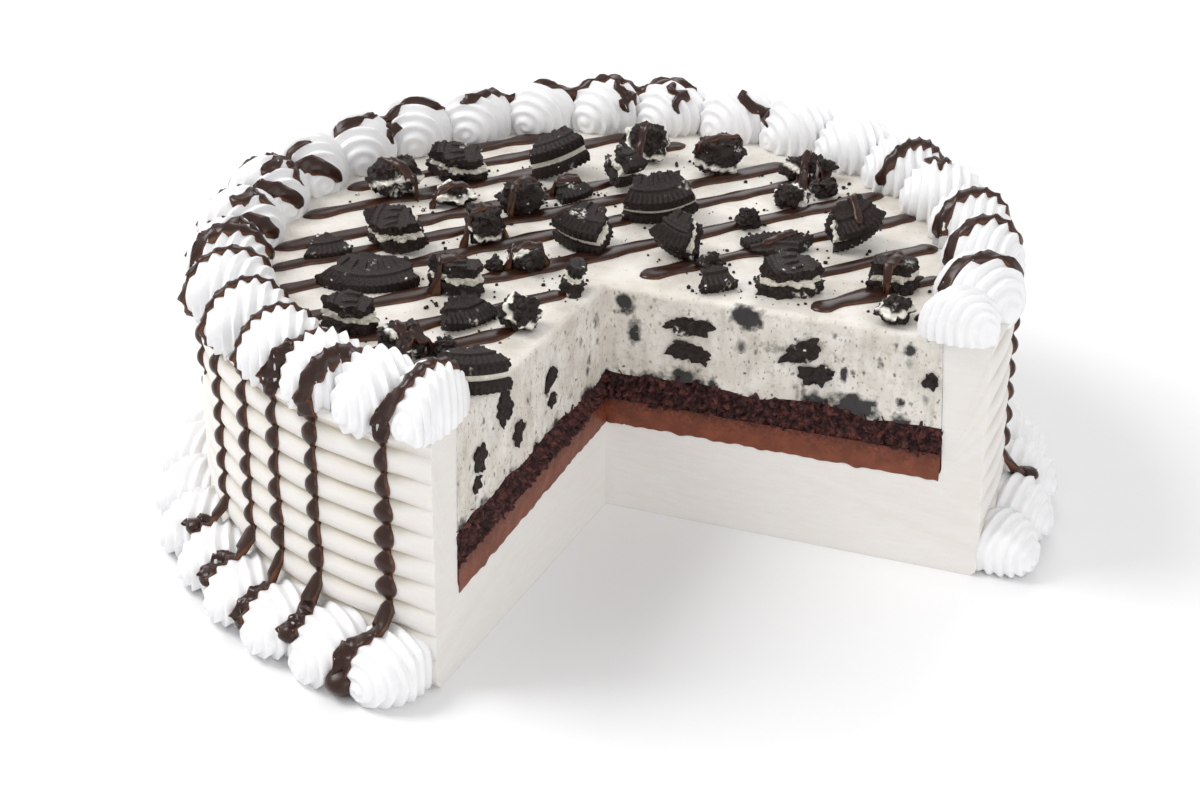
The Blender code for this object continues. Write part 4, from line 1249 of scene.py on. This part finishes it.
def drape(beads, tree, stations, seed):
    """Add a bead of sauce along stations of (core, aim, half width, height).

    Each point of it is pressed against the surface from outside, towards the core.
    """
    kept = []
    for core, aim, half, height in stations:
        hit = landing(tree, core, aim)
        if hit is not None:
            kept.append((core, aim, half, height, hit))
    if len(kept) < 4:
        return
    last = len(kept) - 1

    def surface(index, side):
        """Point beside a station, the surface's height over it and the narrowing at an end."""
        core, aim, half, _, middle = kept[index]
        before, after = kept[max(index - 1, 0)], kept[min(index + 1, last)]
        ahead = after[0] + after[1] * 10 * MM - before[0] - before[1] * 10 * MM
        across = ahead.cross(aim).normalized()
        closing = math.sqrt(min(1.0, (min(index, last - index) + 0.15) / 3.0))
        uneven = 1 + 0.65 * noise.noise(middle / (8 * MM) + Vector((seed, 0, 0)))
        beside = core + across * side * half * closing * uneven
        hit = landing(tree, beside, aim)
        if hit is None or (hit - middle).length > 2.2 * half + 1.5 * MM:
            hit = middle
        return beside, (hit - beside).dot(aim), closing

    made = bmesh.new()
    made.verts.layers.float.new("thin")
    bmesh.ops.create_cone(made, cap_ends=True, segments=10, radius1=1, radius2=1, depth=1)
    long_edges = [edge for edge in made.edges if abs(edge.verts[0].co.z - edge.verts[1].co.z) > 0.5]
    bmesh.ops.subdivide_edges(made, edges=long_edges, cuts=last - 1, use_grid_fill=True)
    thin = made.verts.layers.float["thin"]
    found = {}
    for vertex in made.verts:
        place = (round((vertex.co.z + 0.5) * last), round(vertex.co.x, 4))
        if place not in found:
            found[place] = surface(*place)
    for vertex in made.verts:
        index, side = round((vertex.co.z + 0.5) * last), round(vertex.co.x, 4)
        beside, level, closing = found[index, side]
        up = vertex.co.y
        around = [found[near, side][1] for near in range(max(0, index - 3), min(last, index + 3) + 1)]
        filled = max(level, sum(around) / len(around))
        if up > 0.1:
            lift = filled + kept[index][3] * closing * up
        else:
            lift = level - 0.3 * MM
        vertex.co = beside + kept[index][1] * lift
        vertex[thin] = abs(side) ** 3
    pour(made, beads)


def border_core(piping, outward):
    """Point inside the top border that the sauce over it is pressed towards."""
    return outward * piping.top_radius + UP * (CAKE_TOP + 3 * MM)


def level_stations(offset, start, end, sauce):
    """Stations on the level top, from one X to another."""
    count = max(4, abs(end - start))
    stations = []
    for share in shares(count):
        x = (start + (end - start) * share) * MM
        waver = 0.5 * MM * noise.noise(Vector((x / (14 * MM), offset, 0)))
        core = Vector((x, line_y(offset, x) + waver, CAKE_TOP - 4 * MM))
        if math.hypot(core.x, core.y) < LEVEL_LIMIT and gap_depth(core) < -2 * MM:
            stations.append((core, UP, sauce.level_width / 2, sauce.height))
    return stations


def crossing_stations(offset, side, sauce, piping, outer):
    """Stations over the top border, from its inner foot to its outer side."""
    stations = []
    inner = piping.top_radius - 11.5 * MM
    for share in shares(56):
        radius = inner + (outer - inner) * share
        place = line_meets(offset, radius, side)
        if place is None or gap_depth(place) > -1 * MM:
            continue
        outward = place.normalized()
        lean = math.radians(180 - 180 * share)
        aim = (outward * math.cos(lean) + UP * math.sin(lean)).normalized()
        stations.append((border_core(piping, outward), aim, sauce.width * 0.48, CROSSING_HEIGHT))
    return stations


def fall_stations(offset, side, lowest, sauce, sizes):
    """Stations down the ribbed wall, wide on each rib and pinched in each groove."""
    place = line_meets(offset, sizes.wall_top_radius, side)
    if place is None or gap_depth(place) > -1 * MM:
        return []
    outward = place.normalized()
    stations = []
    height = CAKE_TOP + 2 * MM
    while height > lowest:
        swell = rib_swell(sizes, height) if height < CAKE_TOP - 1 * MM else 0.9
        core = outward * CUP_MOUTH_RADIUS + UP * height
        stations.append((core, outward, sauce.width / 2 * (0.20 + 0.98 * swell ** 1.4),
                         sauce.height * (0.35 + 0.8 * swell)))
        height -= 0.6 * MM
    return stations


def foot_stations(offset, side, lowest, sauce, sizes):
    """Stations over the foot border, along the valley between two swirls, down to a drop."""
    place = line_meets(offset, sizes.wall_top_radius, side)
    start = math.atan2(place.y, place.x)
    turns = border_turns(*FOOT_TURNS)
    valleys = [(turn + after) / 2 for turn, after in zip(turns, turns[1:])]
    valley = min((math.remainder(turn - start, 2 * math.pi) for turn in valleys), key=abs)
    stations = []
    for share in shares(40):
        turn = start + valley * min(1.0, share / 0.45)
        outward = facing(turn)
        lean = math.radians(75 * (1 - share))
        aim = (outward * math.cos(lean) + UP * math.sin(lean)).normalized()
        core = outward * 110 * MM + UP * (6 * MM + (lowest - 6 * MM) * share)
        swelling = max(0.0, share - 0.7) / 0.3
        stations.append((core, aim, sauce.width * (0.5 + 0.3 * swelling),
                         sauce.height * (0.8 + 1.2 * swelling)))
    return stations


def ring_stations(first, last, first_lean, last_lean, sauce, piping):
    """Stations along the top border: two turns round the cake, and how far over the swirls."""
    stations = []
    count = max(12, round(abs(last - first) * 1.8), round(abs(last_lean - first_lean) / 3))
    for share in shares(count):
        turn = math.radians(first + (last - first) * share + 1.2 * math.sin(share * 9))
        lean = math.radians(first_lean + (last_lean - first_lean) * share + 8 * math.sin(share * 7))
        outward = facing(turn)
        aim = outward * math.cos(lean) + UP * math.sin(lean)
        stations.append((border_core(piping, outward), aim, sauce.width * 0.37, RING_HEIGHT))
    return stations


def drop(beads, centre, size):
    """Rounded drop of sauce that sits on the ground at a line's end."""
    made = bmesh.new()
    made.verts.layers.float.new("thin")
    bmesh.ops.create_uvsphere(made, u_segments=20, v_segments=12, radius=1.0)
    for vertex in made.verts:
        unit = vertex.co.copy()
        size_here = size * (1 + 0.15 * noise.noise(unit * 1.3 + centre * 90))
        vertex.co = centre + Vector((unit.x, unit.y, unit.z * 0.8)) * size_here
        vertex.co.z = max(vertex.co.z, 0.2 * MM)
    pour(made, beads)


def drip_stations(place, long, turn, sauce):
    """Stations of a short drip across a cookie."""
    stations = []
    count = max(6, round(long / 0.7))
    for share in shares(count):
        out = (share - 0.5) * long * MM
        core = Vector((place[0] * MM + out * math.cos(turn), place[1] * MM + out * math.sin(turn),
                       CAKE_TOP - 4 * MM))
        stations.append((core, UP, sauce.width * 0.34, sauce.height * 0.7))
    return stations


# Operators


class CAKE_OT_vanilla(bpy.types.Operator):
    """Ribbed vanilla cup that holds the layers"""

    bl_idname = "cake.vanilla"
    bl_label = "Vanilla cup"

    def execute(self, context):
        sizes = context.scene.cake_sizes
        colours = context.scene.cake_colours
        # The wall's vanilla has painted shade in its grooves.
        materials = [vanilla_material("vanilla ice cream", colours.vanilla, paint_groove_shade=True),
                     # The cut faces' vanilla is painted lighter, as light on them.
                     vanilla_material("cut vanilla", colours.vanilla_cut_painted_lighter)]
        piece = new_piece("vanilla_ice_cream", ribbed_cup(sizes), materials, sharp=math.radians(50))
        hand_over(piece, "vanilla", "vanilla_cup")
        return {"FINISHED"}


class CAKE_OT_layers(bpy.types.Operator):
    """Fudge, cookie crunch and speckled cream, with their cut faces"""

    bl_idname = "cake.layers"
    bl_label = "Layers"

    def execute(self, context):
        sizes = context.scene.cake_sizes
        colours = context.scene.cake_colours
        crunch = crumbly_material("cookie crunch", colours.crunch, tinted(colours.crunch, 9.5, 14.0, 11.0),
                                  2.0 * MM, 0.5, 0.9 * MM)
        rows = (
            ("fudge", smooth_fudge(sizes), fudge_material(colours), "fudge", "fudge_layer"),
            ("crunch", rough_crunch(sizes), crunch, "crunch", "cookie_crunch"),
            ("speckled_cream", speckled_cream(sizes), speckled_material(colours), "speckled",
             "cookies_and_cream"),
        )
        for name, made, material, slot, node in rows:
            piece = new_piece(name, made, [material], sharp=math.radians(60))
            hand_over(piece, slot, node)
        return {"FINISHED"}


class CAKE_OT_piping(bpy.types.Operator):
    """Two rings of piped swirls, on the top edge and round the foot"""

    bl_idname = "cake.piping"
    bl_label = "Piped borders"

    def execute(self, context):
        piping = context.scene.piping_sizes
        material = topping_material(context.scene.cake_colours)
        rows = (
            ("top_swirls", "top_border", piping.top_slant, TOP_TURNS, TOP_SEED, piping.top_radius,
             piping.top_reach, TOP_AXIS, piping.top_height - TOP_AXIS, CAKE_TOP, TOP_HANG, TOP_DROOP),
            ("foot_swirls", "foot_border", piping.foot_slant, FOOT_TURNS, FOOT_SEED, piping.foot_radius,
             piping.foot_reach, FOOT_AXIS, piping.foot_height - FOOT_AXIS, 0.0, 0.0, FOOT_DROOP),
        )
        for name, node, slant, turns, *form in rows:
            made = piped_border(piping, slant, border_turns(*turns), *form)
            piece = new_piece(name, made, [material], sharp=math.radians(75))
            hand_over(piece, "topping", node)
        return {"FINISHED"}


class CAKE_OT_cookies(bpy.types.Operator):
    """Broken sandwich cookies on top and the chips that show in the cuts"""

    bl_idname = "cake.cookies"
    bl_label = "Cookies"

    def execute(self, context):
        colours = context.scene.cake_colours
        wafer = cookie_material(colours)
        cream = crumbly_material("cookie filling", tinted(colours.filling, 0.82, 0.80, 0.75),
                                 colours.filling, 1.2 * MM, 0.6, 0.3 * MM)
        slabs = [index for index, row in enumerate(COOKIES) if row[0] != "lump"]
        lumps = [index for index, row in enumerate(COOKIES) if row[0] == "lump"]
        for name, members in (("broken_wafers", slabs), ("cookie_lumps", lumps)):
            made = bmesh.new()
            for index in members:
                pour(broken_cookie(index), made)
            joined = new_piece(name, made, [wafer, cream], sharp=SHARP_CRUMB)
            hand_over(joined, "cookie", *[f"cookie_{index + 1:02d}" for index in members])
        made = bmesh.new()
        for number in range(1, CHIP_COUNT + 1):
            pour(cut_chip(number), made)
        chips = new_piece("cookie_chips", made, [wafer], sharp=SHARP_CRUMB)
        hand_over(chips, "cookie", *[f"chip_{number:02d}" for number in range(1, CHIP_COUNT + 1)])
        return {"FINISHED"}


class CAKE_OT_sauce(bpy.types.Operator):
    """Lines of sauce over the top, the swirls and the side"""

    bl_idname = "cake.sauce"
    bl_label = "Sauce"

    def execute(self, context):
        sizes = context.scene.cake_sizes
        piping = context.scene.piping_sizes
        sauce = context.scene.sauce_sizes
        cake = [bpy.data.objects[name]
                for name in ("vanilla_ice_cream", "speckled_cream", "top_swirls", "foot_swirls")]
        cookies = [bpy.data.objects[name] for name in ("broken_wafers", "cookie_lumps")]
        tree = surface_of(*cake)
        level_tree = surface_of(bpy.data.objects["speckled_cream"])
        over_cookies = surface_of(*cake, *cookies)
        made = bmesh.new()
        for number, (offset, ranges, left, right) in enumerate(SAUCE_LINES):
            for start, end in ranges:
                drape(made, level_tree, level_stations(offset, start, end, sauce), number)
            for side, fall in ((-1, left), (1, right)):
                if fall is None:
                    continue
                lowest = fall * MM
                stations = crossing_stations(offset, side, sauce, piping, sizes.wall_top_radius)
                stations += fall_stations(offset, side, max(lowest, WALL_SAUCE_END), sauce, sizes)
                if lowest < FOOT_SAUCE_START and stations:
                    stations += foot_stations(offset, side, lowest, sauce, sizes)
                    core, aim = stations[-1][:2]
                    end = landing(tree, core, aim)
                    if end is not None:
                        size = LOW_DROP if fall <= 4 else HIGH_DROP
                        drop(made, end + aim * 0.4 * size, size)
                drape(made, tree, stations, number)
        for number, row in enumerate(RING_SAUCE):
            drape(made, tree, ring_stations(*row, sauce, piping), RING_SEED + number)
        for number, (place, long, turn) in enumerate(DRIPS):
            stations = drip_stations(place, long, math.radians(turn), sauce)
            drape(made, over_cookies, stations, DRIP_SEED + number)
        bmesh.ops.recalc_face_normals(made, faces=made.faces[:])
        piece = new_piece("sauce_lines", made, [sauce_material(context.scene.cake_colours)])
        hand_over(piece, "fudge")
        return {"FINISHED"}


class CAKE_OT_crumbs(bpy.types.Operator):
    """Small crumbs round the cookies"""

    bl_idname = "cake.crumbs"
    bl_label = "Crumbs"

    def execute(self, context):
        draw = random.Random(CRUMB_SEED)
        made = bmesh.new()
        for _ in range(CRUMB_TRIES):
            (x, y), cookie_size = draw.choice(COOKIES)[1:3]
            reach = cookie_size[0] / 2 + draw.uniform(0.5, 5.0)
            turn = draw.uniform(0, 2 * math.pi)
            place = Vector((x + reach * math.cos(turn), y + reach * math.sin(turn) * 0.8, 0)) * MM
            if place.length > CRUMB_LIMIT or gap_depth(place) > -2 * MM:
                continue
            size = 0.55 * MM * draw.random() ** 2 + 0.14 * MM
            fresh = bmesh.ops.create_icosphere(made, subdivisions=1, radius=size)["verts"]
            for vertex in fresh:
                vertex.co *= draw.uniform(0.7, 1.2)
                vertex.co += place + UP * (CAKE_TOP + size * 0.4)
        piece = new_piece("crumbs", made, [bpy.data.materials["chocolate cookie"]])
        hand_over(piece, "cookie")
        return {"FINISHED"}


class CAKE_OT_stage(bpy.types.Operator):
    """Pale floor, soft studio light and the camera"""

    bl_idname = "cake.stage"
    bl_label = "Stage"

    def execute(self, context):
        made = bmesh.new()
        bmesh.ops.create_grid(made, x_segments=1, y_segments=1, size=3.0)
        floor_material, tree, shader, place = new_material("pale floor", 0.6)
        mottle = ramp(tree, texture(tree, place, 3.0), 0.3, 0.7)
        set_looks(tree, shader, mix_colours(tree, mottle, (0.86, 0.86, 0.865), (0.88, 0.88, 0.885)))
        new_piece("floor", made, [floor_material])

        world = bpy.data.worlds.new("studio")
        world.use_nodes = True
        sky = world.node_tree.nodes["Background"].inputs
        sky["Color"].default_value = (1.0, 1.0, 1.0, 1.0)
        sky["Strength"].default_value = 0.70
        context.scene.world = world
        context.scene.view_settings.view_transform = "Standard"

        for name, (place, size, power) in LIGHTS.items():
            light = bpy.data.lights.new(name, "AREA")
            light.energy = power
            light.size = size
            lamp = bpy.data.objects.new(name, light)
            lamp.location = place
            lamp.rotation_euler = (LIT_POINT - Vector(place)).to_track_quat("-Z", "Y").to_euler()
            context.scene.collection.objects.link(lamp)

        view = bpy.data.cameras.new("camera")
        view.lens = CAMERA_LENS
        view.sensor_width = 36.0
        view.clip_start = 0.01
        camera = bpy.data.objects.new("camera", view)
        camera.location = CAMERA_PLACE
        camera.rotation_euler = (CAMERA_TILT, 0, 0)
        context.scene.collection.objects.link(camera)
        context.scene.camera = camera
        return {"FINISHED"}


class CAKE_PT_panel(bpy.types.Panel):
    """Buttons that build the cake piece by piece"""

    bl_label = "Ice cream cake"
    bl_idname = "CAKE_PT_panel"
    bl_space_type = "VIEW_3D"
    bl_region_type = "UI"
    bl_category = "Cake"

    def draw(self, context):
        for operator in OPERATORS:
            self.layout.operator(operator.bl_idname)


OPERATORS = (CAKE_OT_vanilla, CAKE_OT_layers, CAKE_OT_piping, CAKE_OT_cookies, CAKE_OT_sauce,
             CAKE_OT_crumbs, CAKE_OT_stage)
GROUPS_OF_SETTINGS = (CakeSizes, PipingSizes, SauceSizes, CakeColours)


def register():
    for kind in GROUPS_OF_SETTINGS + OPERATORS + (CAKE_PT_panel,):
        bpy.utils.register_class(kind)
    bpy.types.Scene.cake_sizes = PointerProperty(type=CakeSizes)
    bpy.types.Scene.piping_sizes = PointerProperty(type=PipingSizes)
    bpy.types.Scene.sauce_sizes = PointerProperty(type=SauceSizes)
    bpy.types.Scene.cake_colours = PointerProperty(type=CakeColours)


def unregister():
    for name in ("cake_sizes", "piping_sizes", "sauce_sizes", "cake_colours"):
        delattr(bpy.types.Scene, name)
    for kind in reversed(GROUPS_OF_SETTINGS + OPERATORS + (CAKE_PT_panel,)):
        bpy.utils.unregister_class(kind)


def main():
    register()
    bpy.ops.cake.vanilla()
    bpy.ops.cake.layers()
    bpy.ops.cake.piping()
    bpy.ops.cake.cookies()
    bpy.ops.cake.sauce()
    bpy.ops.cake.crumbs()
    bpy.ops.cake.stage()


if __name__ == "__main__":
    main()
